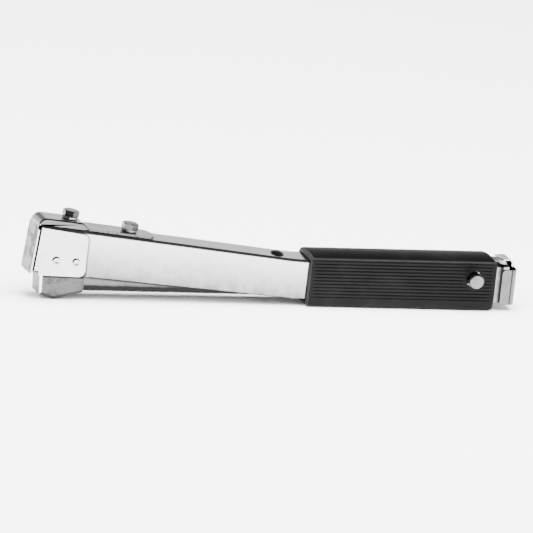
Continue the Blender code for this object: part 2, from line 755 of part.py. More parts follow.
def make_pusher(parent):
    """A block that straddles the rail, with a middle web on the rod."""
    front = STRIP_FRONT + STRIP_LENGTH + GAP
    rear = front + PUSHER_LENGTH
    half = BLADE_WIDTH / 2
    solid = box_mesh("pusher_block", (front, -half, STAPLE_FOOT), (rear, half, STAPLE_TOP))
    block = piece("pusher_block", solid, NOSE_STEEL, parent)
    rail_half = RAIL_WIDTH / 2
    for side in (-1, 1):
        low, high = sorted((side * (rail_half + 0.4 * MM), side * (rail_half - RAIL_WALL - 0.4 * MM)))
        cut_box(block, f"rail_{side}", (front - MM, low, 0.0), (rear + MM, high, RAIL_TOP + 0.4 * MM))
    web = rail_half - RAIL_WALL
    cut_box(block, "web", (front - MM, -web, 0.0), (rear + MM, web, STAPLE_FOOT + 1.4 * MM))
    drill(block, "rod_hole", ROD_HOLE, 0.1, LENGTHWISE, ((front + rear) / 2, 0.0, ROD_Z))
    return rear


def make_follower(parent, pusher_rear):
    def kept(normal, middle):
        return normal.x > 0.5 or abs(normal.y) > 0.5

    outline = rounded([
        (CAP_FRONT, CAP_BOTTOM, 1.0 * MM),
        (CAP_REAR, CAP_BOTTOM),
        (CAP_REAR, CAP_TOP),
        (CAP_FRONT, CAP_TOP, 2.4 * MM),
    ])
    cap = folded_sheet("rear_cap", outline, CAP_WIDTH, CAP_WALL, CAP_BEND, kept, CHROME, parent)
    drill(cap, "rod_hole", ROD_HOLE, 20 * MM, LENGTHWISE, (CAP_REAR, 0.0, ROD_Z))
    drill(cap, "latch_hole", 1.5 * MM, 20 * MM, LENGTHWISE, (CAP_REAR, 0.0, LATCH_Z))

    inside = CAP_REAR - CAP_WALL - REST_GAP
    outside = CAP_REAR + REST_GAP
    rod = [
        (0.0, outside + 0.8 * MM),
        (2.6 * MM, outside + 0.8 * MM),
        (3.0 * MM, outside + 0.4 * MM),
        (3.0 * MM, outside),
        (ROD_RADIUS, outside),
        (ROD_RADIUS, inside),
        (3.0 * MM, inside),
        (3.0 * MM, inside - 3 * MM),
        (ROD_RADIUS, inside - 3 * MM),
        (ROD_RADIUS, ROD_FRONT + 0.5 * MM),
        (1.0 * MM, ROD_FRONT),
        (0.0, ROD_FRONT),
    ]
    turned("guide_rod", rod, LENGTHWISE, (0.0, 0.0, ROD_Z), SPRING_STEEL, parent, sides=16)
    stop = (ROD_FRONT + 1.6 * MM, 0.0, ROD_Z)
    ring("rod_stop", ROD_HOLE, 2.4 * MM, 1.2 * MM, LENGTHWISE, stop, SPRING_STEEL, parent)
    collar = (COLLAR_X, 0.0, ROD_Z)
    ring("spring_collar", ROD_HOLE, 2.5 * MM, COLLAR_LENGTH, LENGTHWISE, collar, ZINC, parent)
    make_pusher_spring(parent, pusher_rear + GAP, COLLAR_X - COLLAR_LENGTH / 2 - GAP)
    make_latch_rivet(parent)


def make_pusher_spring(parent, front, rear):
    turns, points_per_turn = 20, 9
    wire, radius = 0.3 * MM, 2.1 * MM
    count = turns * points_per_turn
    curve = bpy.data.curves.new("pusher_spring", "CURVE")
    curve.dimensions = "3D"
    curve.bevel_depth = wire
    curve.bevel_resolution = 1
    curve.use_fill_caps = True
    spline = curve.splines.new("POLY")
    spline.points.add(count)
    start, end = front + wire, rear - wire
    for index, point in enumerate(spline.points):
        share = index / count
        angle = 2 * pi * turns * share
        point.co = (start + (end - start) * share, radius * cos(angle), ROD_Z + radius * sin(angle), 1.0)
    spring = bpy.data.objects.new("pusher_spring", curve)
    curve.materials.append(material(SPRING_STEEL))
    PARTS.objects.link(spring)
    attach(spring, parent)


def make_latch_rivet(parent):
    """Holds the latch off the cap's rear wall on a shoulder, loosely enough for it to rock."""
    wall_in, wall_out = CAP_REAR - CAP_WALL, CAP_REAR
    strip_rear, strip_front = LATCH_X + LATCH_THICK / 2, LATCH_X - LATCH_THICK / 2
    profile = [
        (0.0, wall_out + REST_GAP + 0.8 * MM),
        (1.5 * MM, wall_out + REST_GAP + 0.7 * MM),
        (2.5 * MM, wall_out + REST_GAP),
        (1.2 * MM, wall_out + REST_GAP),
        (1.2 * MM, wall_in - REST_GAP),
        (2.3 * MM, wall_in - REST_GAP),
        (2.3 * MM, strip_rear + 0.7 * MM),
        (1.2 * MM, strip_rear + 0.7 * MM),
        (1.2 * MM, strip_front - 0.7 * MM),
        (2.3 * MM, strip_front - 0.7 * MM),
        (1.9 * MM, strip_front - 1.5 * MM),
        (0.0, strip_front - 1.5 * MM),
    ]
    turned("latch_rivet", profile, LENGTHWISE, (0.0, 0.0, LATCH_Z), CHROME, parent, sides=16)


def make_thumb_latch(parent):
    """A strip that stands inside the cap and turns forward over the body's top as a thumb tab."""
    tab_z = 33.6 * MM
    path = rounded([
        (LATCH_X, LATCH_Z - 3.6 * MM),
        (LATCH_X, tab_z, 2.6 * MM),
        (160.5 * MM, tab_z, 4 * MM),
        (157.3 * MM, tab_z + 1.1 * MM),
    ])
    latch = plate("thumb_latch", strip_outline(path, LATCH_THICK), LATCH_WIDTH, CHROME, parent)
    drill(latch, "rivet_hole", 1.9 * MM, 10 * MM, LENGTHWISE, (LATCH_X, 0.0, LATCH_Z))
    upright = (0.0, 0.0, 0.0)
    for side in (-1, 1):
        place = (157.0 * MM, side * LATCH_WIDTH / 2, tab_z)
        trim = round_mesh(f"tab_{side}", 4.2 * MM, 12 * MM, upright, place, sides=4)
        cut(latch, cutter(f"thumb_latch_corner_{side}", trim))
    return latch


clear_scene()
PARTS = collection("hammer_tacker")
CUTTERS = collection("cutters")

make_body()
make_head_cover()
make_cover_rivets()
make_driver()
make_clamp()
make_hex_screw("clamp_screw", CLAMP_SCREW_X, PAD_HEIGHT)
make_hex_screw("strap_screw", STRAP_SCREW_X, LEAF_RISE + LEAF_THICK / 2)
make_bumper()
make_return_spring()
make_grip()
make_pivot_pin()

magazine_hinge = joint_empty("magazine_hinge", (PIVOT_X, 0.0, PIVOT_Z))
make_nose(magazine_hinge)
make_magazine(magazine_hinge)
make_staples(magazine_hinge)

follower_slide = joint_empty("follower_slide", (CAP_REAR, 0.0, ROD_Z), magazine_hinge)
pusher_slide = joint_empty("pusher_slide", (STRIP_FRONT + STRIP_LENGTH, 0.0, ROD_Z), follower_slide)
latch_hinge = joint_empty("latch_hinge", (LATCH_X, 0.0, LATCH_Z), follower_slide)
pusher_rear = make_pusher(pusher_slide)
make_follower(follower_slide, pusher_rear)
make_thumb_latch(latch_hinge)
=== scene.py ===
# %% [markdown]
# # A hammer tacker
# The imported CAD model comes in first, and every piece below is built round it, in the same metres and on the
# same axes. A piece that has the right shape already only gets a better finish; a piece whose bends or heads are
# too coarse for a mirror finish is built again, more finely, and stands in for its CAD node.

# %% Load the frame
from math import atan, cos, pi, radians, sin, sqrt, tan

import bmesh
import bpy
from mathutils import Euler, Matrix, Vector


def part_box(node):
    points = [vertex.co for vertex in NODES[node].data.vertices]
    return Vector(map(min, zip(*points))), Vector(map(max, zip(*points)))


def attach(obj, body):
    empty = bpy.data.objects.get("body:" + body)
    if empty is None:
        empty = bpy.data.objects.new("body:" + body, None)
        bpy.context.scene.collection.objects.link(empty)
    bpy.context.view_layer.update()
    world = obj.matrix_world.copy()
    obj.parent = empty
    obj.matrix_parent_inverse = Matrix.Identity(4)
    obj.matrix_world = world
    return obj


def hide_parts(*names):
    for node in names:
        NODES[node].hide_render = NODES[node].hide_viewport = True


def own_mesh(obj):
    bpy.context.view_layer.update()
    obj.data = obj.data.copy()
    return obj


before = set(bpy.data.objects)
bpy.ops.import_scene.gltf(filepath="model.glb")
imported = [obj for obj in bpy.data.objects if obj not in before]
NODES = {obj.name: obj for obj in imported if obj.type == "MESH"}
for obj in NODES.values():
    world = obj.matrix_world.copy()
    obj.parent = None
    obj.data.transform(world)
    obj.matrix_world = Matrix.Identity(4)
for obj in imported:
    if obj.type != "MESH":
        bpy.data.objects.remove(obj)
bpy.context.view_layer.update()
MM = 0.001

# %% [markdown]
# ## Camera
# The tool is small and is seen from far away through a long lens, so its edges stay almost parallel. The camera
# is turned a little about its own view line, which makes the handle rise gently to the left.

# %% Camera
AIM = Vector((-3.0, 0.0, 23.3)) * MM
TOWARDS_CAMERA = Vector((-0.3207, -0.9090, 0.2620)).normalized()
CAMERA_UP = Vector((-0.0224, 0.2820, 0.9570))
CAMERA_DISTANCE = 13.8

right = CAMERA_UP.cross(TOWARDS_CAMERA).normalized()
up = TOWARDS_CAMERA.cross(right)
camera_data = bpy.data.cameras.new("camera")
camera_data.lens = 1400.0
camera_data.sensor_width = 36.0
camera_data.clip_end = 60.0
camera = bpy.data.objects.new("camera", camera_data)
bpy.context.scene.collection.objects.link(camera)
camera.matrix_world = Matrix.Translation(AIM + TOWARDS_CAMERA * CAMERA_DISTANCE) @ Matrix(
    (right, up, TOWARDS_CAMERA)
).transposed().to_4x4()
bpy.context.scene.camera = camera
print("camera at", [round(value, 3) for value in camera.location])

# %% [markdown]
# ## Floor and light
# A mirror shows the room more than itself. The room here is a pale sweep below and round the tool, under a dark
# ceiling: the flat sides pick up the bright floor, and the rolled edges, which look up, turn into the thin dark
# lines that make plated steel look like steel. The lamps that light the floor are hidden from reflections, so
# they brighten everything evenly without leaving white squares on the plate.

# %% Floor
def new_material(name):
    """An empty material with one Principled shader, and its nodes and links."""
    made = bpy.data.materials.new(name)
    made.use_nodes = True
    return made, made.node_tree.nodes, made.node_tree.links, made.node_tree.nodes["Principled BSDF"]


floor_mesh = bpy.data.meshes.new("floor")
REACH = 6.0
floor_mesh.from_pydata(
    [(-REACH, -REACH, 0.0), (REACH, -REACH, 0.0), (REACH, REACH, 0.0), (-REACH, REACH, 0.0)], [], [(0, 1, 2, 3)]
)
floor = bpy.data.objects.new("floor", floor_mesh)
floor.location.z = -0.4 * MM
bpy.context.scene.collection.objects.link(floor)
floor_material, _, _, shader = new_material("pale_floor")
shader.inputs["Base Color"].default_value = (0.86, 0.86, 0.86, 1.0)
shader.inputs["Roughness"].default_value = 0.9
shader.inputs["Specular IOR Level"].default_value = 0.1
floor_mesh.materials.append(floor_material)
print("floor:", 2 * REACH, "m wide")

# %% World
world = bpy.data.worlds.new("studio")
bpy.context.scene.world = world
world.use_nodes = True
sky = world.node_tree.nodes
sky_links = world.node_tree.links
direction = sky.new("ShaderNodeTexCoord")
parts = sky.new("ShaderNodeSeparateXYZ")
ramp = sky.new("ShaderNodeValToRGB")
background = sky["Background"]
sky_links.new(direction.outputs["Generated"], parts.inputs["Vector"])
sky_links.new(parts.outputs["Z"], ramp.inputs["Fac"])
sky_links.new(ramp.outputs["Color"], background.inputs["Color"])
HEIGHTS = [(0.0, 1.0), (0.14, 0.62), (0.30, 0.50), (0.42, 0.06), (1.0, 0.03)]
while len(ramp.color_ramp.elements) < len(HEIGHTS):
    ramp.color_ramp.elements.new(0.5)
for element, (height, level) in zip(ramp.color_ramp.elements, HEIGHTS):
    element.position = height
    element.color = (level, level, level, 1.0)
background.inputs["Strength"].default_value = 2.2
print("world levels by height:", HEIGHTS)

# %% Lamps
def soft_lamp(name, place, size, watts, glossy):
    """A square soft lamp that looks at the middle of the tool."""
    data = bpy.data.lights.new(name, "AREA")
    data.shape = "SQUARE"
    data.size = size
    data.energy = watts
    lamp = bpy.data.objects.new(name, data)
    bpy.context.scene.collection.objects.link(lamp)
    lamp.location = place
    lamp.rotation_euler = (Vector(place) - AIM).to_track_quat("Z", "Y").to_euler()
    lamp.visible_glossy = glossy
    lamp.visible_camera = False
    return lamp


soft_lamp("overhead_lamp", (0.1, -0.2, 2.2), 2.0, 400.0, False)
soft_lamp("left_lamp", (-1.8, -0.9, 1.3), 1.4, 110.0, False)
soft_lamp("right_lamp", (1.6, -1.4, 1.1), 1.2, 60.0, False)

# %% [markdown]
# ## A dark card
# A bright edge on a bright wall disappears. A dark card to the left, in front of the nose, gives the folded edge
# of the head something to mirror, so it reads as a dark line. Only reflections see the card.

# %% Dark card
card_mesh = bpy.data.meshes.new("dark_card")
CARD_FOOT = [(-0.1685, -0.062), (-0.212, -0.062), (-0.234, -0.036)]
CARD_HEIGHTS = (0.5 * MM, 65 * MM)
card_mesh.from_pydata(
    [(x, y, z) for x, y in CARD_FOOT for z in CARD_HEIGHTS], [], [(0, 1, 3, 2), (2, 3, 5, 4)]
)
card = bpy.data.objects.new("dark_card", card_mesh)
bpy.context.scene.collection.objects.link(card)
card_material, _, _, shader = new_material("dark_card")
shader.inputs["Base Color"].default_value = (0.01, 0.01, 0.01, 1.0)
shader.inputs["Roughness"].default_value = 1.0
card_mesh.materials.append(card_material)
card.visible_camera = card.visible_shadow = card.visible_diffuse = False
print("card foot:", CARD_FOOT)

# %% [markdown]
# ## Shared shader groups
# Four effects turn up on several finishes. Handling marks are cloudy smears with fine rubbing lines in them.
# Rolled grain is the faint lengthwise texture that sheet and wire keep from the mill. Painted shade is laid as a
# darker line beside an edge, and round a plate that lies on another, where shadow and dark reflections fall; the
# same line also paints a pale highlight along the grip's top edges. Each is a node group, made once, and each
# material sets its own scale and strength.

# %% Shader group helpers
def group_tree(name, inputs, outputs):
    """A shader node group with float or vector inputs, given as (name, kind, value)."""
    tree = bpy.data.node_groups.new(name, "ShaderNodeTree")
    for label, kind, value in inputs:
        socket = tree.interface.new_socket(label, in_out="INPUT", socket_type=kind)
        if value is not None:
            socket.default_value = value
    for label, kind in outputs:
        tree.interface.new_socket(label, in_out="OUTPUT", socket_type=kind)
    return tree, tree.nodes.new("NodeGroupInput"), tree.nodes.new("NodeGroupOutput")


def feed(tree, value, socket):
    """Sets a socket to a number, or links another socket to it."""
    if isinstance(value, (int, float)):
        socket.default_value = value
    else:
        tree.links.new(value, socket)


def math_node(tree, operation, *values, clamp=False):
    node = tree.nodes.new("ShaderNodeMath")
    node.operation = operation
    node.use_clamp = clamp
    for value, socket in zip(values, node.inputs):
        feed(tree, value, socket)
    return node.outputs[0]


def noise(tree, vector, scale, detail=4.0, roughness=0.55, distortion=0.0):
    node = tree.nodes.new("ShaderNodeTexNoise")
    tree.links.new(vector, node.inputs["Vector"])
    feed(tree, scale, node.inputs["Scale"])
    node.inputs["Detail"].default_value = detail
    node.inputs["Roughness"].default_value = roughness
    node.inputs["Distortion"].default_value = distortion
    return node.outputs["Fac"]


def stretched(tree, vector, scale):
    node = tree.nodes.new("ShaderNodeMapping")
    tree.links.new(vector, node.inputs["Vector"])
    node.inputs["Scale"].default_value = scale
    return node.outputs["Vector"]


def band(tree, value, low, high):
    """0 below low, 1 above high, and smooth between."""
    node = tree.nodes.new("ShaderNodeMapRange")
    node.interpolation_type = "SMOOTHSTEP"
    feed(tree, value, node.inputs["Value"])
    feed(tree, low, node.inputs["From Min"])
    feed(tree, high, node.inputs["From Max"])
    return node.outputs["Result"]


print("helpers for shader groups ready")

# %% Handling marks
FLOAT, VECTOR = "NodeSocketFloat", "NodeSocketVector"
handling, inside, outside = group_tree(
    "handling_marks",
    [("Position", VECTOR, None), ("Scale", FLOAT, 60.0), ("Amount", FLOAT, 1.0)],
    [("Smear", FLOAT), ("Lines", FLOAT)],
)
cloud = noise(handling, inside.outputs["Position"], inside.outputs["Scale"], 5.0, 0.6, 0.4)
fine = noise(handling, stretched(handling, inside.outputs["Position"], (60.0, 900.0, 900.0)), 6.0, 3.0)
smear = math_node(handling, "MULTIPLY", band(handling, cloud, 0.45, 0.75), inside.outputs["Amount"])
lines = math_node(handling, "MULTIPLY", band(handling, fine, 0.58, 0.72), inside.outputs["Amount"])
handling.links.new(smear, outside.inputs["Smear"])
handling.links.new(lines, outside.inputs["Lines"])
print("group:", handling.name)

# %% Rolled grain
grain, inside, outside = group_tree(
    "rolled_grain",
    [("Position", VECTOR, None), ("Fineness", FLOAT, 1.0)],
    [("Height", FLOAT)],
)
long_way = stretched(grain, inside.outputs["Position"], (40.0, 1500.0, 1500.0))
streak = noise(grain, long_way, inside.outputs["Fineness"], 4.0, 0.7)
speckle = noise(grain, inside.outputs["Position"], 900.0, 2.0)
mixed = math_node(
    grain, "ADD", math_node(grain, "MULTIPLY", streak, 0.75), math_node(grain, "MULTIPLY", speckle, 0.25)
)
grain.links.new(mixed, outside.inputs["Height"])
print("group:", grain.name)

# %% Painted shade and highlight lines
# A line mask for painted light: the metals darken along it as painted shade beside an edge, and the grip rubber pales
# along it as a painted highlight.
painted_line, inside, outside = group_tree(
    "painted_light_line",
    [
        ("Position", VECTOR, None), ("Direction", VECTOR, (1.0, 0.0, 0.0)), ("Offset", FLOAT, 0.0),
        ("Width", FLOAT, MM), ("From X", FLOAT, -1.0), ("To X", FLOAT, 1.0), ("Strength", FLOAT, 1.0),
    ],
    [("Mask", FLOAT)],
)
along = painted_line.nodes.new("ShaderNodeVectorMath")
along.operation = "DOT_PRODUCT"
painted_line.links.new(inside.outputs["Position"], along.inputs[0])
painted_line.links.new(inside.outputs["Direction"], along.inputs[1])
from_line = math_node(painted_line, "SUBTRACT", along.outputs["Value"], inside.outputs["Offset"])
off_line = math_node(painted_line, "DIVIDE", math_node(painted_line, "ABSOLUTE", from_line), inside.outputs["Width"])
near_line = math_node(painted_line, "SUBTRACT", 1.0, off_line, clamp=True)
axes = painted_line.nodes.new("ShaderNodeSeparateXYZ")
painted_line.links.new(inside.outputs["Position"], axes.inputs["Vector"])
in_span = math_node(
    painted_line, "MULTIPLY",
    math_node(painted_line, "GREATER_THAN", axes.outputs["X"], inside.outputs["From X"]),
    math_node(painted_line, "LESS_THAN", axes.outputs["X"], inside.outputs["To X"]),
)
patchy = math_node(
    painted_line, "ADD", 0.6, math_node(painted_line, "MULTIPLY", noise(painted_line, inside.outputs["Position"], 160.0, 4.0), 0.7)
)
line_mask = math_node(painted_line, "MULTIPLY", math_node(painted_line, "MULTIPLY", near_line, in_span), patchy)
painted_line.links.new(
    math_node(painted_line, "MULTIPLY", line_mask, inside.outputs["Strength"], clamp=True), outside.inputs["Mask"]
)
print("group:", painted_line.name)

# %% Painted shade round a plate
# A mask for painted shade round a plate that lies on another, where the plate's edge throws its shadow.
plate_shade, inside, outside = group_tree(
    "painted_shade_round_a_plate",
    [
        ("Position", VECTOR, None), ("Middle", VECTOR, (0.0, 0.0, 0.0)), ("Half size", VECTOR, (0.01, 1.0, 0.01)),
        ("Slope", FLOAT, 0.0), ("Corner", FLOAT, 4 * MM), ("Width", FLOAT, MM),
    ],
    [("Mask", FLOAT)],
)


def vector_node(tree, operation, first, second=None):
    """A vector maths node; second may be a socket, a fixed vector or nothing."""
    node = tree.nodes.new("ShaderNodeVectorMath")
    node.operation = operation
    tree.links.new(first, node.inputs[0])
    if isinstance(second, tuple):
        node.inputs[1].default_value = second
    elif second is not None:
        tree.links.new(second, node.inputs[1])
    return node


offset = vector_node(plate_shade, "SUBTRACT", inside.outputs["Position"], inside.outputs["Middle"]).outputs["Vector"]
axes = plate_shade.nodes.new("ShaderNodeSeparateXYZ")
plate_shade.links.new(offset, axes.inputs["Vector"])
level = math_node(
    plate_shade, "ADD", axes.outputs["Z"], math_node(plate_shade, "MULTIPLY", axes.outputs["X"], inside.outputs["Slope"])
)
flat = plate_shade.nodes.new("ShaderNodeCombineXYZ")
plate_shade.links.new(axes.outputs["X"], flat.inputs["X"])
plate_shade.links.new(level, flat.inputs["Z"])
reach = vector_node(plate_shade, "ABSOLUTE", flat.outputs["Vector"]).outputs["Vector"]
inner = vector_node(plate_shade, "SUBTRACT", inside.outputs["Half size"], inside.outputs["Corner"])
past = vector_node(plate_shade, "SUBTRACT", reach, inner.outputs["Vector"]).outputs["Vector"]
past = vector_node(plate_shade, "MAXIMUM", past, (0.0, 0.0, 0.0)).outputs["Vector"]
distance = math_node(
    plate_shade, "SUBTRACT", vector_node(plate_shade, "LENGTH", past).outputs["Value"], inside.outputs["Corner"]
)
beside = math_node(
    plate_shade, "SUBTRACT", 1.0, math_node(plate_shade, "DIVIDE", distance, inside.outputs["Width"]), clamp=True
)
plate_shade.links.new(math_node(plate_shade, "MULTIPLY", beside, 0.9), outside.inputs["Mask"])
print("group:", plate_shade.name)

# %% [markdown]
# ## Metal finishes
# All the metals are one recipe: a plate colour that goes a little darker in the smears, a roughness that rises
# there, and a very shallow bump from the rolled grain. What tells them apart is how deep each of the three goes.
# Several also carry painted shade, darker lines beside edges and round plates where shadow and dark reflections fall.

# %% Material helpers
def place_group(nodes, links, tree, position, **values):
    """A shared group in one material, with its own values."""
    node = nodes.new("ShaderNodeGroup")
    node.node_tree = tree
    links.new(position, node.inputs["Position"])
    for label, value in values.items():
        node.inputs[label].default_value = value
    return node


def mixed_colour(nodes, links, mask, first, second):
    """Goes from first, a colour or a socket, to the colour second where the mask is white."""
    node = nodes.new("ShaderNodeMix")
    node.data_type = "RGBA"
    links.new(mask, node.inputs["Factor"])
    if isinstance(first, tuple):
        node.inputs["A"].default_value = (*first, 1.0)
    else:
        links.new(first, node.inputs["A"])
    node.inputs["B"].default_value = (*second, 1.0)
    return node.outputs["Result"]


def rough_from(nodes, links, shader, value, start, end, smooth, dull):
    """Roughness goes from smooth to dull as the value goes from start to end."""
    rough = nodes.new("ShaderNodeMapRange")
    links.new(value, rough.inputs["Value"])
    for label, number in (("From Min", start), ("From Max", end), ("To Min", smooth), ("To Max", dull)):
        rough.inputs[label].default_value = number
    links.new(rough.outputs["Result"], shader.inputs["Roughness"])


def bump_from(nodes, links, shader, height, strength, depth):
    relief = nodes.new("ShaderNodeBump")
    relief.inputs["Strength"].default_value = strength
    relief.inputs["Distance"].default_value = depth
    links.new(height, relief.inputs["Height"])
    links.new(relief.outputs["Normal"], shader.inputs["Normal"])


print("helpers for materials ready")

# %% Metals
# The colour of the painted shade that darkens metals beside edges and round plates.
PAINTED_SHADE = (0.012, 0.012, 0.012)
LINE_INPUTS = ("Direction", "Offset", "Width", "From X", "To X", "Strength")


def metal(name, colour, dull_colour, smooth, dull, smear_scale, smear, grain_fineness, bump, lines=(), plate=None):
    """A plated or bare metal: colours and roughness from clean to smeared, how deep its grain is, and where
    painted shade darkens it, in lines with the values of LINE_INPUTS and round a plate with the group's own values."""
    made, nodes, links, shader = new_material(name)
    place = nodes.new("ShaderNodeTexCoord").outputs["Object"]
    marks = place_group(nodes, links, handling, place, Scale=smear_scale, Amount=smear)
    mill = place_group(nodes, links, grain, place, Fineness=grain_fineness)
    surface = mixed_colour(nodes, links, marks.outputs["Smear"], colour, dull_colour)
    painted_shade_masks = [place_group(nodes, links, painted_line, place, **dict(zip(LINE_INPUTS, line))) for line in lines]
    if plate:
        painted_shade_masks.append(place_group(nodes, links, plate_shade, place, **plate))
    # Each mask paints shade into the colour, standing in for shadow and dark reflections.
    for mask in painted_shade_masks:
        surface = mixed_colour(nodes, links, mask.outputs["Mask"], surface, PAINTED_SHADE)
    links.new(surface, shader.inputs["Base Color"])
    shader.inputs["Metallic"].default_value = 1.0
    wear = nodes.new("ShaderNodeMath")
    wear.operation = "ADD"
    links.new(marks.outputs["Smear"], wear.inputs[0])
    links.new(marks.outputs["Lines"], wear.inputs[1])
    rough_from(nodes, links, shader, wear.outputs[0], 0.0, 1.0, smooth, dull)
    bump_from(nodes, links, shader, mill.outputs["Height"], bump, 0.05 * MM)
    METALS.append(name)
    return made


METALS = []
SLOPE_LOW = (0.0783, 0.0, 1.0)  # square to the handle's lower edge, where it rises
LOW_EDGE = 5.84 * MM  # that edge, measured along SLOPE_LOW
CHROME = metal("chrome", (0.6, 0.6, 0.605), (0.5, 0.5, 0.505), 0.08, 0.22, 45.0, 0.8, 0.8, 0.02)
# The handle's chrome carries painted shade: a painted shadow line along its lower edge, its sides painted darker
# towards the bottom, painted shade towards the rear cap, a painted shadow in the gap at the cap's flange and at the
# grip's front end, and a painted shadow round the head cover's flange.
HANDLE_CHROME = metal(
    "handle_chrome", (0.6, 0.6, 0.605), (0.5, 0.5, 0.505), 0.08, 0.22, 45.0, 0.8, 0.8, 0.02,
    lines=[
        (SLOPE_LOW, LOW_EDGE, 0.8 * MM, -0.13, 0.012, 1.5),
        (SLOPE_LOW, LOW_EDGE, 26.0 * MM, -0.17, 0.03, 0.75),
        ((1.0, 0.0, 0.0), 157.5 * MM, 12.0 * MM, 0.15, 0.17, 0.85),
        ((1.0, 0.0, 0.0), 159.2 * MM, 2.0 * MM, 0.155, 0.1605, 1.6),
        ((1.0, 0.0, 0.0), 22.8 * MM, 0.9 * MM, 0.02, 0.024, 0.8),
    ],
    plate={
        "Middle": (-152.0 * MM, 0.0, 31.8 * MM), "Half size": (19.1 * MM, 1.0, 15.9 * MM), "Slope": 0.107,
        "Corner": 4.5 * MM, "Width": 1.3 * MM,
    },
)
# A darker chrome for the head cover's front wall: partly real scuffs and smears, partly painted shade.
SCUFFED_AND_SHADED = metal("scuffed_and_shaded_chrome", (0.085, 0.085, 0.085), (0.015, 0.015, 0.015), 0.16, 0.4, 105.0, 1.9, 1.0, 0.2)
# A darker copy of the chrome, painted shade, for the rear cap and the sides of the head cover's pad; the cap also
# carries a painted dark line near its rear bend.
SHADED_CHROME = metal(
    "shaded_chrome", (0.12, 0.12, 0.12), (0.07, 0.07, 0.07), 0.14, 0.3, 90.0, 0.8, 1.0, 0.05,
    lines=[((1.0, 0.0, 0.0), 166.3 * MM, 0.8 * MM, 0.16, 0.168, 1.2)],
)
PIN_PLATE = metal("pin_plate", (0.17, 0.17, 0.17), (0.13, 0.13, 0.13), 0.36, 0.5, 130.0, 0.8, 1.0, 0.1)
DARK_STEEL = metal("dark_steel", (0.1, 0.1, 0.1), (0.05, 0.05, 0.05), 0.25, 0.45, 260.0, 1.0, 2.0, 0.2)
ZINC = metal("zinc_plate", (0.3, 0.3, 0.295), (0.13, 0.13, 0.125), 0.22, 0.42, 220.0, 1.0, 2.0, 0.15)
DRIVER_STEEL = metal("driver_steel", (0.5, 0.5, 0.5), (0.42, 0.42, 0.42), 0.16, 0.32, 120.0, 1.0, 1.5, 0.08)
# The magazine's sheet carries a painted dark reflection as a band low on its sides, and a painted shadow line just
# under the handle's lower edge.
SHEET = metal(
    "sheet_steel", (0.105, 0.105, 0.105), (0.07, 0.07, 0.07), 0.2, 0.36, 70.0, 1.0, 1.2, 0.08,
    lines=[
        ((0.0, 0.0, 1.0), 8.2 * MM, 2.8 * MM, -0.135, 0.2, 1.8),
        (SLOPE_LOW, LOW_EDGE - 0.4 * MM, 1.6 * MM, -0.17, 0.012, 1.4),
    ],
)
SPRING = metal("spring_steel", (0.28, 0.28, 0.3), (0.16, 0.15, 0.15), 0.28, 0.5, 120.0, 1.0, 1.5, 0.15)
# The nose steel carries a painted shadow line under the head cover's flange.
NOSE_STEEL = metal(
    "nose_steel", (0.09, 0.09, 0.09), (0.045, 0.045, 0.045), 0.3, 0.5, 160.0, 1.0, 2.0, 0.25,
    lines=[((0.0256, 0.0, 1.0), 11.9 * MM, 1.2 * MM, -0.17, -0.133, 1.7)],
)
# Darker and brighter copies of the nose steel for its chamfers: painted shade on the lower chamfer, and on the
# upright front chamfer a polished edge made brighter still as a painted highlight.
SHADED_NOSE_STEEL = metal("nose_steel_painted_shade", (0.045, 0.045, 0.045), (0.03, 0.03, 0.03), 0.3, 0.45, 160.0, 1.0, 2.0, 0.25)
POLISHED_LIT_STEEL = metal("polished_and_lit_steel", (0.85, 0.85, 0.85), (0.6, 0.6, 0.6), 0.12, 0.3, 160.0, 0.5, 2.0, 0.05)
STAPLE = metal("staple_steel", (0.62, 0.62, 0.6), (0.5, 0.5, 0.48), 0.25, 0.4, 300.0, 0.7, 3.0, 0.1)
BRONZE = metal("bush_bronze", (0.5, 0.34, 0.15), (0.3, 0.19, 0.08), 0.35, 0.55, 300.0, 1.0, 3.0, 0.3)
print("metals:", METALS)

# %% [markdown]
# ## Grip rubber
# Soft black vinyl is never quite black: it carries pale dust in its pores and polishes where a palm rubs it. The
# colour moves between two dark greys, and a fine pore bump keeps its highlights broken. A paler line along the
# grip's long top edges is a painted highlight, and its top, worn matt by the palm, shines less than its sides. The
# faces that look forward take a lighter copy of the rubber, a painted highlight.

# %% Rubber
# The pale colour of the painted highlight along the grip's top edges.
PAINTED_HIGHLIGHT = (0.02, 0.02, 0.02)


def rubber(name, dark, dusty, smooth, dull, shine=0.09, highlight_height=None):
    """Soft black vinyl, with a painted highlight, a pale line, along one height where that height is given."""
    made, nodes, links, shader = new_material(name)
    place = nodes.new("ShaderNodeTexCoord").outputs["Object"]
    marks = place_group(nodes, links, handling, place, Scale=38.0, Amount=0.9)
    mill = place_group(nodes, links, grain, place, Fineness=3.0)
    surface = mixed_colour(nodes, links, marks.outputs["Smear"], dark, dusty)
    # A pale line along one height: a painted highlight.
    if highlight_height:
        upward = (0.0, 0.0, 1.0)
        edge = place_group(nodes, links, painted_line, place, Direction=upward, Offset=highlight_height, Width=0.6 * MM)
        surface = mixed_colour(nodes, links, edge.outputs["Mask"], surface, PAINTED_HIGHLIGHT)
    links.new(surface, shader.inputs["Base Color"])
    rough_from(nodes, links, shader, mill.outputs["Height"], 0.3, 0.7, smooth, dull)
    pores = nodes.new("ShaderNodeTexNoise")
    links.new(place, pores.inputs["Vector"])
    pores.inputs["Scale"].default_value = 2600.0
    pores.inputs["Detail"].default_value = 2.0
    bump_from(nodes, links, shader, pores.outputs["Fac"], 0.35, 0.1 * MM)
    shader.inputs["Specular IOR Level"].default_value = shine
    return made


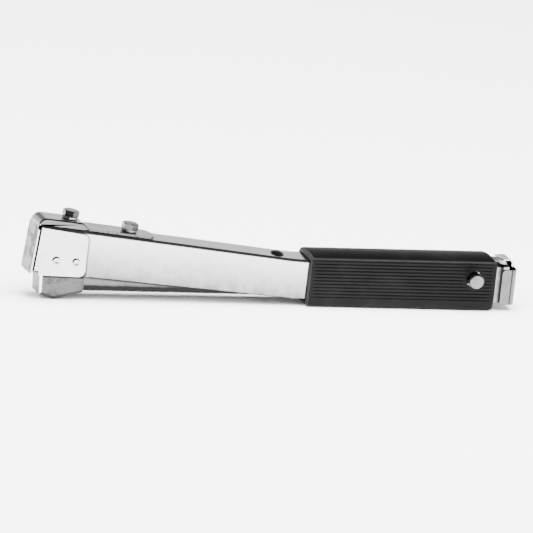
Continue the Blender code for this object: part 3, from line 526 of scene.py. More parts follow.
CROWN = 1.3 * MM  # how far the grip's top falls from its middle to its long edges
GRIP_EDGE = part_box("grip_sleeve")[1].z - CROWN
GRIP_DARK, GRIP_DUSTY = (0.0016, 0.0016, 0.0018), (0.0045, 0.0045, 0.0048)
# Both grip rubbers carry the painted highlight just under the long top edges.
GRIP_RUBBER = rubber("grip_rubber", GRIP_DARK, GRIP_DUSTY, 0.32, 0.48, highlight_height=GRIP_EDGE - 0.5 * MM)
GRIP_TOP_RUBBER = rubber("grip_top_rubber", GRIP_DARK, GRIP_DUSTY, 0.32, 0.48, 0.02, GRIP_EDGE - 0.5 * MM)
# A lighter copy of the grip rubber for the faces that look forward: a painted highlight.
LIT_END_RUBBER = rubber("grip_end_lit_rubber", (0.012, 0.012, 0.0125), (0.022, 0.022, 0.0225), 0.45, 0.6)
BUMPER_RUBBER = rubber("bumper_rubber", (0.02, 0.02, 0.02), (0.05, 0.05, 0.05), 0.6, 0.8)
print("rubbers:", [made.name for made in (GRIP_RUBBER, GRIP_TOP_RUBBER, LIT_END_RUBBER, BUMPER_RUBBER)])

# %% [markdown]
# ## Shaping helpers
# Most of this tool is sheet that was cut flat and bent. The helper draws the side view as an outline, gives it
# the width of the piece, throws away the faces that are open on the real one, rounds the bends, and only then
# gives the sheet its wall. Weighted normals keep the broad flats flat, which matters on a mirror.

# %% Outlines and sheets
ARC_STEPS = 10


def rounded(corners, steps=ARC_STEPS):
    """An outline from (x, z) or (x, z, radius) corners, with each radius turned into an arc."""
    made = []
    for index, corner in enumerate(corners):
        here = Vector(corner[:2])
        if len(corner) == 2:
            made.append(tuple(here))
            continue
        before = Vector(corners[index - 1][:2]) - here
        after = Vector(corners[(index + 1) % len(corners)][:2]) - here
        half = before.angle(after) / 2
        start = here + before.normalized() * corner[2] / tan(half)
        end = here + after.normalized() * corner[2] / tan(half)
        centre = here + (before.normalized() + after.normalized()).normalized() * corner[2] / sin(half)
        first, last = start - centre, end - centre
        sweep = first.angle_signed(last)
        for step in range(steps + 1):
            turn = Matrix.Rotation(-sweep * step / steps, 2)
            made.append(tuple(centre + turn @ first))
    return made


def strip_outline(path, thickness):
    """The outline of a bent strip, seen on its edge: its path moved half a thickness to each side."""
    points = [Vector(point) for point in path]
    left, right = [], []
    for index, here in enumerate(points):
        before = (here - points[index - 1]).normalized() if index else None
        after = (points[index + 1] - here).normalized() if index + 1 < len(points) else None
        along = ((before or after) + (after or before)).normalized()
        across = Vector((-along.y, along.x))
        left.append(tuple(here + across * thickness / 2))
        right.append(tuple(here - across * thickness / 2))
    return left + right[::-1]


def mesh_from(build, name):
    """Ends a bmesh and gives its mesh."""
    mesh = bpy.data.meshes.new(name)
    build.to_mesh(mesh)
    build.free()
    return mesh


def add_object(name, mesh):
    obj = bpy.data.objects.new(name, mesh)
    bpy.context.scene.collection.objects.link(obj)
    return obj


def slab(name, outline, thickness):
    """A solid from an outline in X and Z, centred on the plane Y = 0."""
    build = bmesh.new()
    near = [build.verts.new((x, -thickness / 2, z)) for x, z in outline]
    far = [build.verts.new((x, thickness / 2, z)) for x, z in outline]
    build.faces.new(near)
    build.faces.new(far[::-1])
    count = len(outline)
    for index in range(count):
        build.faces.new((near[index], far[index], far[(index + 1) % count], near[(index + 1) % count]))
    bmesh.ops.remove_doubles(build, verts=build.verts, dist=0.001 * MM)
    bmesh.ops.recalc_face_normals(build, faces=build.faces)
    return add_object(name, mesh_from(build, name))


def add_bevel(obj, width, segments, angle=40.0):
    made = obj.modifiers.new("rounded", "BEVEL")
    made.width = width
    made.segments = segments
    made.limit_method = "ANGLE"
    made.angle_limit = radians(angle)
    return made


def bent_sheet(name, outline, width, wall, bend, kept, steps=8, edge=0.18 * MM):
    """A bent sheet: the outline's solid, open where kept() says no, rounded and given its wall inwards."""
    obj = slab(name, outline, width)
    build = bmesh.new()
    build.from_mesh(obj.data)
    opened = [face for face in build.faces if not kept(face.normal, face.calc_center_median())]
    bmesh.ops.delete(build, geom=opened, context="FACES")
    build.to_mesh(obj.data)
    build.free()
    if bend:
        add_bevel(obj, bend, steps, 50.0)
    sheet = obj.modifiers.new("wall", "SOLIDIFY")
    sheet.thickness = wall
    sheet.offset = -1.0
    sheet.use_even_offset = True
    if edge:
        add_bevel(obj, edge, 2, 60.0)
    return obj


# %% Cutters and finishing
HELPERS = []


def cut(target, tool, operation="DIFFERENCE"):
    made = target.modifiers.new(tool.name, "BOOLEAN")
    made.operation = operation
    made.object = tool
    made.solver = "EXACT"
    HELPERS.append(tool)


def cut_box(target, low, high):
    build = bmesh.new()
    bmesh.ops.create_cube(build, size=1.0)
    size, middle = Vector(high) - Vector(low), (Vector(high) + Vector(low)) / 2
    build.transform(Matrix.Translation(middle) @ Matrix.Diagonal((*size, 1.0)))
    cut(target, add_object("box_cutter", mesh_from(build, "box_cutter")))


def drill(target, radius, length, turn, place, sides=32):
    build = bmesh.new()
    bmesh.ops.create_cone(build, cap_ends=True, segments=sides, radius1=radius, radius2=radius, depth=length)
    build.transform(Matrix.Translation(place) @ Euler(turn).to_matrix().to_4x4())
    cut(target, add_object("drill", mesh_from(build, "drill")))


def evaluated(obj):
    """A new mesh of the object as its modifiers leave it."""
    bpy.context.view_layer.update()
    return bpy.data.meshes.new_from_object(obj.evaluated_get(bpy.context.evaluated_depsgraph_get()))


def plain_mesh(obj, material, smooth_angle=35.0, weighted=True):
    """Turns an object and its modifiers into one plain mesh with its finish and its shading."""
    mesh = evaluated(obj)
    mesh.transform(obj.matrix_world)
    obj.modifiers.clear()
    build = bmesh.new()
    build.from_mesh(mesh)
    bmesh.ops.remove_doubles(build, verts=build.verts, dist=0.002 * MM)
    bmesh.ops.dissolve_degenerate(build, edges=build.edges, dist=0.001 * MM)
    build.to_mesh(mesh)
    build.free()
    mesh.shade_smooth()
    mesh.set_sharp_from_angle(angle=radians(smooth_angle))
    obj.matrix_world = Matrix.Identity(4)
    obj.data = mesh
    if weighted:
        even = obj.modifiers.new("flats stay flat", "WEIGHTED_NORMAL")
        even.weight = 80
        even.keep_sharp = True
        obj.data = evaluated(obj)
        obj.modifiers.clear()
    obj.data.materials.clear()
    obj.data.materials.append(material)
    for helper in HELPERS:
        bpy.data.objects.remove(helper)
    HELPERS.clear()
    return obj


def give_faces(obj, material, wanted):
    """A second finish on the faces that wanted() picks."""
    obj.data.materials.append(material)
    index = len(obj.data.materials) - 1
    for face in obj.data.polygons:
        if wanted(face):
            face.material_index = index


def stand_in(obj, body, slot, *nodes):
    """The finished piece rides on its body and hides the CAD nodes that it stands for; its slot is not used."""
    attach(obj, body)
    if nodes:
        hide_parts(*nodes)
    print(f"{obj.name}: {len(obj.data.polygons)} faces on {body}")
    return obj


# %% [markdown]
# ## The handle's channel
# One long piece of sheet, folded down on both sides and open below. Its back is level under the grip and rises
# towards the head, so its side view is two straight runs with a soft break between them.

# %% Handle sizes
BODY_WIDTH, BODY_WALL, BODY_BEND = 22.2 * MM, 1.2 * MM, 2.0 * MM
BODY_REAR, BODY_FLAT_TOP, BODY_FLAT_BOTTOM = 164.0 * MM, 31.3 * MM, 4.9 * MM
TOP_BREAK, TOP_SLOPE = 16.8 * MM, 0.1072
BOTTOM_BREAK, BOTTOM_SLOPE = 12.0 * MM, 0.0783
SLOPE_ANGLE = atan(TOP_SLOPE)
FRONT_AT_20, FRONT_LEAN = -171.1 * MM, 0.082
PIVOT = Vector((139.6, 0.0, 21.4)) * MM
CLAMP_SCREW_X, STRAP_SCREW_X, SPRING_RIVET_X = -144.9 * MM, -102.2 * MM, 3.4 * MM
RIVET_PLACES = [(-154.6 * MM, 27.5 * MM), (-140.6 * MM, 26.6 * MM)]
ACROSS, LENGTHWISE, SQUARE_TO_TOP = (pi / 2, 0.0, 0.0), (0.0, pi / 2, 0.0), (0.0, SLOPE_ANGLE, 0.0)


def body_top(x):
    return BODY_FLAT_TOP + max(0.0, TOP_BREAK - x) * TOP_SLOPE


def body_bottom(x):
    return BODY_FLAT_BOTTOM + max(0.0, BOTTOM_BREAK - x) * BOTTOM_SLOPE


def front_face(z):
    return FRONT_AT_20 + (z - 20 * MM) * FRONT_LEAN


def off_top(x, height):
    """A point above the sloping top, measured square to it."""
    lift = Vector((sin(SLOPE_ANGLE), 0.0, cos(SLOPE_ANGLE))) * height
    return Vector((x, 0.0, body_top(x))) + lift


# %% Handle channel
COVER_WALL = 0.8 * MM
front_low = front_face(body_bottom(-0.17)) + COVER_WALL + 1.6 * MM
front_high = front_face(body_top(-0.167)) + COVER_WALL + 1.6 * MM
channel = bent_sheet(
    "handle_channel",
    rounded([
        (front_low, body_bottom(front_low)),
        (BOTTOM_BREAK, BODY_FLAT_BOTTOM),
        (BODY_REAR, BODY_FLAT_BOTTOM),
        (BODY_REAR, BODY_FLAT_TOP),
        (TOP_BREAK, BODY_FLAT_TOP, 170 * MM),
        (front_high, body_top(front_high)),
    ]),
    BODY_WIDTH, BODY_WALL, BODY_BEND,
    lambda normal, middle: normal.z > 0.5 or abs(normal.y) > 0.5,
)
for x, radius in ((CLAMP_SCREW_X, 3.3 * MM), (STRAP_SCREW_X, 3.3 * MM), (SPRING_RIVET_X, 2.8 * MM)):
    drill(channel, radius, 24 * MM, SQUARE_TO_TOP, off_top(x, 0.0))
drill(channel, 3.3 * MM, 60 * MM, ACROSS, PIVOT)
for x, z in RIVET_PLACES:
    drill(channel, 1.9 * MM, 60 * MM, ACROSS, (x, 0.0, z))
cut_box(channel, (-0.18, -6.2 * MM, 45 * MM), (-156.2 * MM, 6.2 * MM, 60 * MM))
stand_in(plain_mesh(channel, HANDLE_CHROME), "handle", "chrome", "body_channel")

# %% [markdown]
# ## The head cover
# A second sheet wraps the front of the channel. Its middle carries on upwards and folds back over the top as a
# raised pad, which the front screw clamps. Two small reliefs beside the neck let the sheet fold both ways.

# %% Head cover
COVER_WIDTH, COVER_BEND, COVER_REAR = 24.4 * MM, 2.4 * MM, -133.5 * MM
PAD_WIDTH, PAD_HEIGHT, PAD_REAR = 18.0 * MM, 4.9 * MM, -133.8 * MM
COVER_LOW, COVER_HIGH = 17.2 * MM, 50.2 * MM
cover = bent_sheet(
    "head_cover_shell",
    rounded([
        (front_face(COVER_LOW), COVER_LOW),
        (COVER_REAR, body_bottom(COVER_REAR), 4.5 * MM),
        (COVER_REAR, body_top(COVER_REAR) - 2.1 * MM, 4 * MM),
        (front_face(COVER_HIGH), COVER_HIGH),
    ]),
    COVER_WIDTH, COVER_WALL, COVER_BEND,
    lambda normal, middle: abs(normal.y) > 0.5 or (normal.x < -0.9 and middle.x < -0.16),
)
neck_low, neck_high, inner_x = 47 * MM, body_top(-0.16) + PAD_HEIGHT + 0.8 * MM, -167.7 * MM
GAP = 0.3 * MM
pad = bent_sheet(
    "pad",
    rounded([
        (front_face(neck_low) + 0.1 * MM, neck_low),
        (inner_x, neck_low),
        (inner_x, body_top(inner_x) + GAP),
        (PAD_REAR - 2.4 * MM, body_top(PAD_REAR - 2.4 * MM) + GAP),
        (PAD_REAR, body_top(PAD_REAR) + 2.5 * MM),
        (PAD_REAR - 3.5 * MM, body_top(PAD_REAR - 3.5 * MM) + PAD_HEIGHT, 3 * MM),
        (front_face(neck_high) + 0.1 * MM, neck_high, 6.0 * MM),
    ]),
    PAD_WIDTH, COVER_WALL, 1.3 * MM,
    lambda normal, middle: abs(normal.y) > 0.5 or normal.z > 0.2 or (normal.x < -0.6 and middle.x < -0.16),
    steps=5, edge=0.0,
)
cut(cover, pad, "UNION")
drill(cover, 3.3 * MM, 24 * MM, SQUARE_TO_TOP, off_top(CLAMP_SCREW_X, 0.0))
for x, z in RIVET_PLACES:
    drill(cover, 1.9 * MM, 60 * MM, ACROSS, (x, 0.0, z))
for side in (-1, 1):
    drill(cover, 4.4 * MM, 8 * MM, LENGTHWISE, (-0.17, side * COVER_WIDTH / 2, COVER_LOW - 1.2 * MM), sides=4)
    drill(cover, 1.5 * MM, 9 * MM, LENGTHWISE, (-0.168, side * (PAD_WIDTH / 2 + 1.5 * MM), 49.4 * MM), sides=20)
plain_mesh(cover, CHROME)
# The front wall takes the darker chrome: scuffs, and painted shade.
give_faces(cover, SCUFFED_AND_SHADED, lambda face: face.normal.x < -0.985)
# The pad's sides take the darker copy of the chrome, painted shade.
give_faces(
    cover, SHADED_CHROME,
    lambda face: abs(face.normal.y) > 0.6 and face.center.z > body_top(face.center.x) + 0.4 * MM,
)
stand_in(cover, "handle", "chrome", "head_cover")

# %% [markdown]
# ## Fasteners
# Screws, washers and rivets repeat, so they are made once and set on points. The points carry the way each
# fastener faces, and a Geometry Nodes tree turns a copy of it to that direction on each of them.

# %% A tree that sets fasteners on points
def socket_id(tree, name):
    items = tree.interface.items_tree
    return next(item.identifier for item in items if item.name == name and item.in_out == "INPUT")


def geometry_tree(name, sockets):
    tree = bpy.data.node_groups.new(name, "GeometryNodeTree")
    tree.interface.new_socket("Geometry", in_out="INPUT", socket_type="NodeSocketGeometry")
    tree.interface.new_socket("Geometry", in_out="OUTPUT", socket_type="NodeSocketGeometry")
    for label, kind, value in sockets:
        socket = tree.interface.new_socket(label, in_out="INPUT", socket_type=kind)
        if value is not None:
            socket.default_value = value
    return tree, tree.nodes.new("NodeGroupInput"), tree.nodes.new("NodeGroupOutput")


def finish_tree(tree, given, result, geometry):
    """Ends a tree: the copies become one real mesh, with its finish."""
    real = tree.nodes.new("GeometryNodeRealizeInstances")
    dressed = tree.nodes.new("GeometryNodeSetMaterial")
    tree.links.new(geometry, real.inputs["Geometry"])
    tree.links.new(real.outputs["Geometry"], dressed.inputs["Geometry"])
    tree.links.new(given.outputs["Finish"], dressed.inputs["Material"])
    tree.links.new(dressed.outputs["Geometry"], result.inputs["Geometry"])
    print("tree:", tree.name)


fasteners, given, result = geometry_tree(
    "fasteners_on_points",
    [
        ("Fastener", "NodeSocketObject", None), ("Size", "NodeSocketFloat", 1.0),
        ("Finish", "NodeSocketMaterial", None),
    ],
)
info = fasteners.nodes.new("GeometryNodeObjectInfo")
facing = fasteners.nodes.new("GeometryNodeInputNamedAttribute")
facing.data_type = "FLOAT_VECTOR"
facing.inputs["Name"].default_value = "facing"
turn_to = fasteners.nodes.new("FunctionNodeAlignRotationToVector")
turn_to.axis = "Z"
setter = fasteners.nodes.new("GeometryNodeInstanceOnPoints")
link = fasteners.links.new
link(given.outputs["Fastener"], info.inputs["Object"])
link(given.outputs["Geometry"], setter.inputs["Points"])
link(info.outputs["Geometry"], setter.inputs["Instance"])
link(facing.outputs["Attribute"], turn_to.inputs["Vector"])
link(turn_to.outputs["Rotation"], setter.inputs["Rotation"])
link(given.outputs["Size"], setter.inputs["Scale"])
finish_tree(fasteners, given, result, setter.outputs["Instances"])

# %% Set and turn helpers
def run_tree(obj, tree, **values):
    """Runs a Geometry Nodes tree on an object."""
    made = obj.modifiers.new(tree.name, "NODES")
    made.node_group = tree
    for label, value in values.items():
        made[socket_id(tree, label.replace("_", " "))] = value
    return made


def set_fasteners(name, fastener, places, finish, angle=35.0):
    """One mesh with a copy of the fastener on each (point, direction)."""
    mesh = bpy.data.meshes.new(name)
    mesh.from_pydata([tuple(point) for point, _ in places], [], [])
    direction = mesh.attributes.new("facing", "FLOAT_VECTOR", "POINT")
    for index, (_, way) in enumerate(places):
        direction.data[index].vector = way
    obj = add_object(name, mesh)
    run_tree(obj, fasteners, Fastener=fastener, Finish=finish)
    HELPERS.append(fastener)
    return plain_mesh(obj, finish, angle)


def turned_mesh(name, profile, sides=40, closed=False):
    """A turned shape about its own Z, from (radius, height) run down its outer side."""
    build = bmesh.new()
    corners = [build.verts.new((radius, 0.0, height)) for radius, height in profile]
    edges = [build.edges.new(pair) for pair in zip(corners, corners[1:])]
    if closed:
        edges.append(build.edges.new((corners[-1], corners[0])))
    bmesh.ops.spin(
        build, geom=corners + edges, cent=(0, 0, 0), axis=(0, 0, 1), angle=2 * pi, steps=sides, use_duplicate=False
    )
    bmesh.ops.remove_doubles(build, verts=build.verts, dist=0.001 * MM)
    bmesh.ops.recalc_face_normals(build, faces=build.faces)
    return mesh_from(build, name)


def turned_piece(name, profile, turn, place, finish, sides=40, closed=False):
    obj = add_object(name, turned_mesh(name, profile, sides, closed))
    obj.rotation_euler = turn
    obj.location = place
    return plain_mesh(obj, finish, 35.0)


# %% Cover rivets
rivet_profile = [
    (0.0, 0.75 * MM), (0.9 * MM, 0.8 * MM), (1.5 * MM, 1.1 * MM), (2.0 * MM, 1.2 * MM), (2.5 * MM, 0.95 * MM),
    (2.78 * MM, 0.55 * MM), (2.8 * MM, 0.2 * MM), (1.6 * MM, 0.2 * MM), (1.6 * MM, -2.1 * MM), (0.0, -2.1 * MM),
]
rivet = add_object("rivet", turned_mesh("rivet", rivet_profile, 28))
places = [
    (Vector((x, side * COVER_WIDTH / 2, z)), Vector((0.0, side, 0.0))) for side in (-1, 1) for x, z in RIVET_PLACES
]
stand_in(
    set_fasteners("cover_rivets", rivet, places, CHROME), "handle", "chrome",
    "cover_rivet_near_front", "cover_rivet_near_rear", "cover_rivet_far_front", "cover_rivet_far_rear",
)

# %% Hex screws and their washers
HEX_RADIUS, HEX_HEIGHT, SHANK = 5.8 * MM, 4.0 * MM, 3.0 * MM
LEAF_THICK, LEAF_RISE = 1.3 * MM, 0.95 * MM
REST_GAP, WASHER_THICK = 0.2 * MM, 1.5 * MM
SEATS = [(CLAMP_SCREW_X, PAD_HEIGHT), (STRAP_SCREW_X, LEAF_RISE + LEAF_THICK / 2)]
TOP_NORMAL = Vector((sin(SLOPE_ANGLE), 0.0, cos(SLOPE_ANGLE)))


def hex_screw_mesh():
    """A hex prism whose corners are turned down by a cone, with its shank below."""
    head = add_object("hex_head", bpy.data.meshes.new("hex_head"))
    build = bmesh.new()
    bmesh.ops.create_cone(
        build, cap_ends=True, segments=6, radius1=HEX_RADIUS, radius2=HEX_RADIUS, depth=HEX_HEIGHT,
        matrix=Matrix.Translation((0.0, 0.0, HEX_HEIGHT / 2)),
    )
    build.to_mesh(head.data)
    build.free()
    flat = HEX_RADIUS * cos(pi / 6)
    turning = [
        (0.0, HEX_HEIGHT), (flat - 0.2 * MM, HEX_HEIGHT), (flat + 3 * MM, HEX_HEIGHT - 3.2 * MM * tan(radians(32))),
        (flat + 3 * MM, -1 * MM), (0.0, -1 * MM),
    ]
    cut(head, add_object("turning", turned_mesh("turning", turning, 48)), "INTERSECT")
    shank_low = -13.0 * MM
    shank = [(0.0, 1 * MM), (SHANK, 1 * MM), (SHANK, shank_low), (0.0, shank_low)]
    cut(head, add_object("shank", turned_mesh("shank", shank, 32)), "UNION")
    return plain_mesh(head, ZINC, 25.0, weighted=False)


screw = hex_screw_mesh()
screw_places = [(off_top(x, seat + WASHER_THICK + 2 * REST_GAP), TOP_NORMAL) for x, seat in SEATS]
screws = set_fasteners("hex_screws", screw, screw_places, ZINC, 25.0)
# The heads' side facets take the darker steel: painted shade.
give_faces(screws, DARK_STEEL, lambda face: abs(face.normal.dot(TOP_NORMAL)) < 0.3)
stand_in(screws, "handle", "zinc_plate", "clamp_screw", "strap_screw")

washer = add_object("lock_washer", turned_mesh(
    "lock_washer",
    [(3.3 * MM, 1.5 * MM), (5.15 * MM, 1.5 * MM), (5.3 * MM, 1.35 * MM), (5.3 * MM, 0.15 * MM),
     (5.15 * MM, 0.0), (3.3 * MM, 0.0)], 48, closed=True,
))
cut_box(washer, (0.0, 2 * MM, -MM), (0.8 * MM, 8 * MM, 3 * MM))
plain_mesh(washer, ZINC, 35.0, weighted=False)
washer_places = [(off_top(x, seat + REST_GAP), TOP_NORMAL) for x, seat in SEATS]
washers = set_fasteners("lock_washers", washer, washer_places, ZINC)
stand_in(washers, "handle", "zinc_plate", "clamp_screw_washer", "strap_screw_washer")

# %% Spring rivet
under_top = -(BODY_WALL + GAP + 1.2 * MM + REST_GAP)
rivet_head = [
    (0.0, 1.1 * MM), (1.2 * MM, 1.15 * MM), (1.7 * MM, 1.6 * MM), (2.6 * MM, 1.7 * MM), (3.7 * MM, 1.35 * MM),
    (4.5 * MM, 0.75 * MM), (4.8 * MM, 0.2 * MM), (2.5 * MM, 0.2 * MM), (2.5 * MM, under_top),
    (4.2 * MM, under_top), (3.6 * MM, under_top - 1.1 * MM), (0.0, under_top - 1.1 * MM),
]
stand_in(
    turned_piece("spring_rivet_head", rivet_head, SQUARE_TO_TOP, off_top(SPRING_RIVET_X, 0.0), ZINC),
    "handle", "zinc_plate", "spring_rivet",
)

# %% [markdown]
# ## Driver
# The driver starts as a flat strap on the channel's back, runs under the pad, and turns down at the front into
# the narrow blade that pushes the staple out. It is one strip seen on its edge, with its plan cut afterwards.

# %% Driver
BLADE_WIDTH, BLADE_TIP, BLADE_LEAN, LEAF_REAR = 10.6 * MM, (-160.6 * MM, 18.6 * MM), 0.0489, -86.0 * MM
corner_z = body_top(-0.159) + LEAF_RISE
corner_x = BLADE_TIP[0] + (corner_z - BLADE_TIP[1]) * BLADE_LEAN
driver_path = rounded([
    (LEAF_REAR, body_top(LEAF_REAR) + LEAF_RISE), (corner_x, body_top(corner_x) + LEAF_RISE, 2.4 * MM), BLADE_TIP,
])
driver = slab("driver_strap", strip_outline(driver_path, LEAF_THICK), PAD_WIDTH)
for side in (-1, 1):
    for reach, rear in ((PAD_WIDTH / 2 - 1.2 * MM, PAD_REAR + 0.6 * MM), (BLADE_WIDTH / 2, -156.6 * MM)):
        low, high = sorted((side * reach, side * 20 * MM))
        cut_box(driver, (-0.18, low, 0.0), (rear, high, 0.07))
    place = (LEAF_REAR, side * PAD_WIDTH / 2, body_top(LEAF_REAR))
    drill(driver, 3.2 * MM, 20 * MM, (0.0, 0.0, 0.0), place, sides=4)
for x in (CLAMP_SCREW_X, STRAP_SCREW_X):
    drill(driver, 3.3 * MM, 24 * MM, SQUARE_TO_TOP, off_top(x, 0.0))
add_bevel(driver, 0.15 * MM, 2, 50.0)
plain_mesh(driver, DRIVER_STEEL)
give_faces(driver, DARK_STEEL, lambda face: abs(face.normal.y) > 0.5)
stand_in(driver, "handle", "spring_steel", "driver_blade")

# %% [markdown]
# ## Ribbed grip
# The sleeve is a soft moulding with fine lengthwise ribs on both cheeks. Its shape follows a rule, so the ribs
# are not modelled one by one: the cheek starts smooth and closely gridded, and a Geometry Nodes tree sinks the
# grooves by the height of each point, fading them out at the rims and round the pin.

# %% Smooth sleeve
GRIP_LOW, GRIP_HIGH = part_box("grip_sleeve")
RIM_TOP, RIM_LOW, CHEEK_ROWS = 0.9 * MM, 2.6 * MM, 132


def drop(distance, radius):
    """How far a quarter round of that radius falls away, at a distance from the end."""
    if distance >= radius:
        return 0.0
    return radius - sqrt(max(0.0, radius ** 2 - (radius - distance) ** 2))


def sleeve_ring(x):
    """One cross-section of the sleeve, as points round it."""
    front, rear = x - GRIP_LOW.x, GRIP_HIGH.x - x
    top = GRIP_HIGH.z - max(drop(front, 3.2 * MM), drop(rear, 3.0 * MM)) - CROWN
    low = max(drop(front, 2.0 * MM), drop(rear, 3.0 * MM))
    half = GRIP_HIGH.y - max(drop(front, 1.4 * MM), drop(rear, 1.6 * MM))
    side = [
        (half, low + RIM_LOW + (top - RIM_TOP - low - RIM_LOW) * row / CHEEK_ROWS) for row in range(CHEEK_ROWS + 1)
    ]
    upper = [
        (half - RIM_TOP * (1 - cos(pi / 2 * k / 6)), top - RIM_TOP * (1 - sin(pi / 2 * k / 6))) for k in range(1, 7)
    ]
    shoulder = half - RIM_TOP
    upper += [(shoulder * (1 - k / 8), top + CROWN * (1 - (1 - k / 8) ** 2)) for k in range(1, 8)]
    lower = [(half - RIM_LOW * (1 - cos(pi / 2 * k / 8)), low + RIM_LOW * (1 - sin(pi / 2 * k / 8)))
             for k in range(1, 9)]
    right_half = lower[::-1] + side + upper
    return right_half + [(0.0, top + CROWN)] + [(-y, z) for y, z in right_half[::-1]]


ends = [0.0, 0.05, 0.15, 0.35, 0.7, 1.1, 1.6, 2.2, 3.0]
stations = [GRIP_LOW.x + step * MM for step in ends]
stations += [GRIP_LOW.x + (3.0 + 1.75 * k) * MM for k in range(1, 69)]
STEPS_TO_END = (8.0, 7.0, 6.0, 5.0, 4.0, 3.0, 2.2, 1.6, 1.1, 0.7, 0.35, 0.15, 0.05, 0.0)
stations += [GRIP_HIGH.x - step * MM for step in STEPS_TO_END]
stations = sorted(stations)
build = bmesh.new()
rings = [[build.verts.new((x, y, z)) for y, z in sleeve_ring(x)] for x in stations]
for first, second in zip(rings, rings[1:]):
    for index in range(len(first)):
        after = (index + 1) % len(first)
        build.faces.new((first[index], first[after], second[after], second[index]))
build.faces.new(rings[0])
build.faces.new(rings[-1][::-1])
bmesh.ops.recalc_face_normals(build, faces=build.faces)
sleeve = add_object("ribbed_grip", mesh_from(build, "ribbed_grip"))
print("smooth sleeve:", len(sleeve.data.polygons), "faces,", len(stations), "stations")

# %% Tree that sinks the ribs
ribs, given, result = geometry_tree(
    "cheek_ribs",
    [
        ("Rib pitch", "NodeSocketFloat", 2.3 * MM), ("Groove depth", "NodeSocketFloat", 0.38 * MM),
        ("Lowest", "NodeSocketFloat", 7.2 * MM), ("Highest", "NodeSocketFloat", 32.2 * MM),
        ("Front", "NodeSocketFloat", 26.5 * MM), ("Rear", "NodeSocketFloat", 152.2 * MM),
        ("Pin", "NodeSocketVector", tuple(PIVOT)), ("Pin clearance", "NodeSocketFloat", 7.0 * MM),
        ("Finish", "NodeSocketMaterial", None),
    ],
)
link = ribs.links.new


def geo_math(operation, *values):
    return math_node(ribs, operation, *values)


def fade(value, low, high):
    """0 at low and 1 at high, smooth between, with low and high as sockets."""
    return band(ribs, value, low, high)


position = ribs.nodes.new("GeometryNodeInputPosition").outputs["Position"]
axes = ribs.nodes.new("ShaderNodeSeparateXYZ")
link(position, axes.inputs["Vector"])
x, y, z = (axes.outputs[label] for label in "XYZ")
from_lowest = geo_math("SUBTRACT", z, given.outputs["Lowest"])
phase = geo_math("MULTIPLY", geo_math("DIVIDE", from_lowest, given.outputs["Rib pitch"]), pi)
groove = geo_math("POWER", geo_math("ABSOLUTE", geo_math("COSINE", phase)), 3.0)
soft = 1.2 * MM
in_length = geo_math(
    "MULTIPLY",
    fade(x, given.outputs["Front"], geo_math("ADD", given.outputs["Front"], soft)),
    fade(x, given.outputs["Rear"], geo_math("SUBTRACT", given.outputs["Rear"], soft)),
)
in_height = geo_math(
    "MULTIPLY",
    fade(
        z,
        geo_math("SUBTRACT", given.outputs["Lowest"], 0.6 * MM),
        geo_math("SUBTRACT", given.outputs["Lowest"], 0.1 * MM),
    ),
    fade(z, geo_math("ADD", given.outputs["Highest"], 0.6 * MM), given.outputs["Highest"]),
)
away = ribs.nodes.new("ShaderNodeVectorMath")
away.operation = "DISTANCE"
flat_place = ribs.nodes.new("ShaderNodeCombineXYZ")
link(x, flat_place.inputs["X"])
link(z, flat_place.inputs["Z"])
link(flat_place.outputs["Vector"], away.inputs[0])
link(given.outputs["Pin"], away.inputs[1])
off_pin = fade(
    away.outputs["Value"], given.outputs["Pin clearance"], geo_math("ADD", given.outputs["Pin clearance"], 1.0 * MM)
)
on_cheek = geo_math("GREATER_THAN", geo_math("ABSOLUTE", y), 12.0 * MM)
depth = geo_math("MULTIPLY", geo_math("MULTIPLY", groove, in_length), geo_math("MULTIPLY", in_height, off_pin))
sink = geo_math("MULTIPLY", geo_math("MULTIPLY", depth, on_cheek), given.outputs["Groove depth"])
inward = geo_math("MULTIPLY", geo_math("SIGN", y), geo_math("MULTIPLY", sink, -1.0))
offset = ribs.nodes.new("ShaderNodeCombineXYZ")
link(inward, offset.inputs["Y"])
move = ribs.nodes.new("GeometryNodeSetPosition")
link(given.outputs["Geometry"], move.inputs["Geometry"])
link(offset.outputs["Vector"], move.inputs["Offset"])
finish_tree(ribs, given, result, move.outputs["Geometry"])
run_tree(sleeve, ribs, Finish=GRIP_RUBBER)
cavity = BODY_WIDTH / 2 + GAP
cut_box(sleeve, (GRIP_LOW.x - 5 * MM, -cavity, 2.8 * MM), (GRIP_HIGH.x + 5 * MM, cavity, BODY_FLAT_TOP + GAP))
drill(sleeve, 5.5 * MM, 60 * MM, ACROSS, PIVOT, sides=48)
plain_mesh(sleeve, GRIP_RUBBER, 40.0, weighted=False)
give_faces(sleeve, GRIP_TOP_RUBBER, lambda face: face.center.z > GRIP_EDGE - 0.1 * MM)
# Faces that look forward take the lighter rubber, a painted highlight.
give_faces(sleeve, LIT_END_RUBBER, lambda face: face.normal.x < -0.35)
stand_in(sleeve, "handle", "grip_rubber", "grip_sleeve")

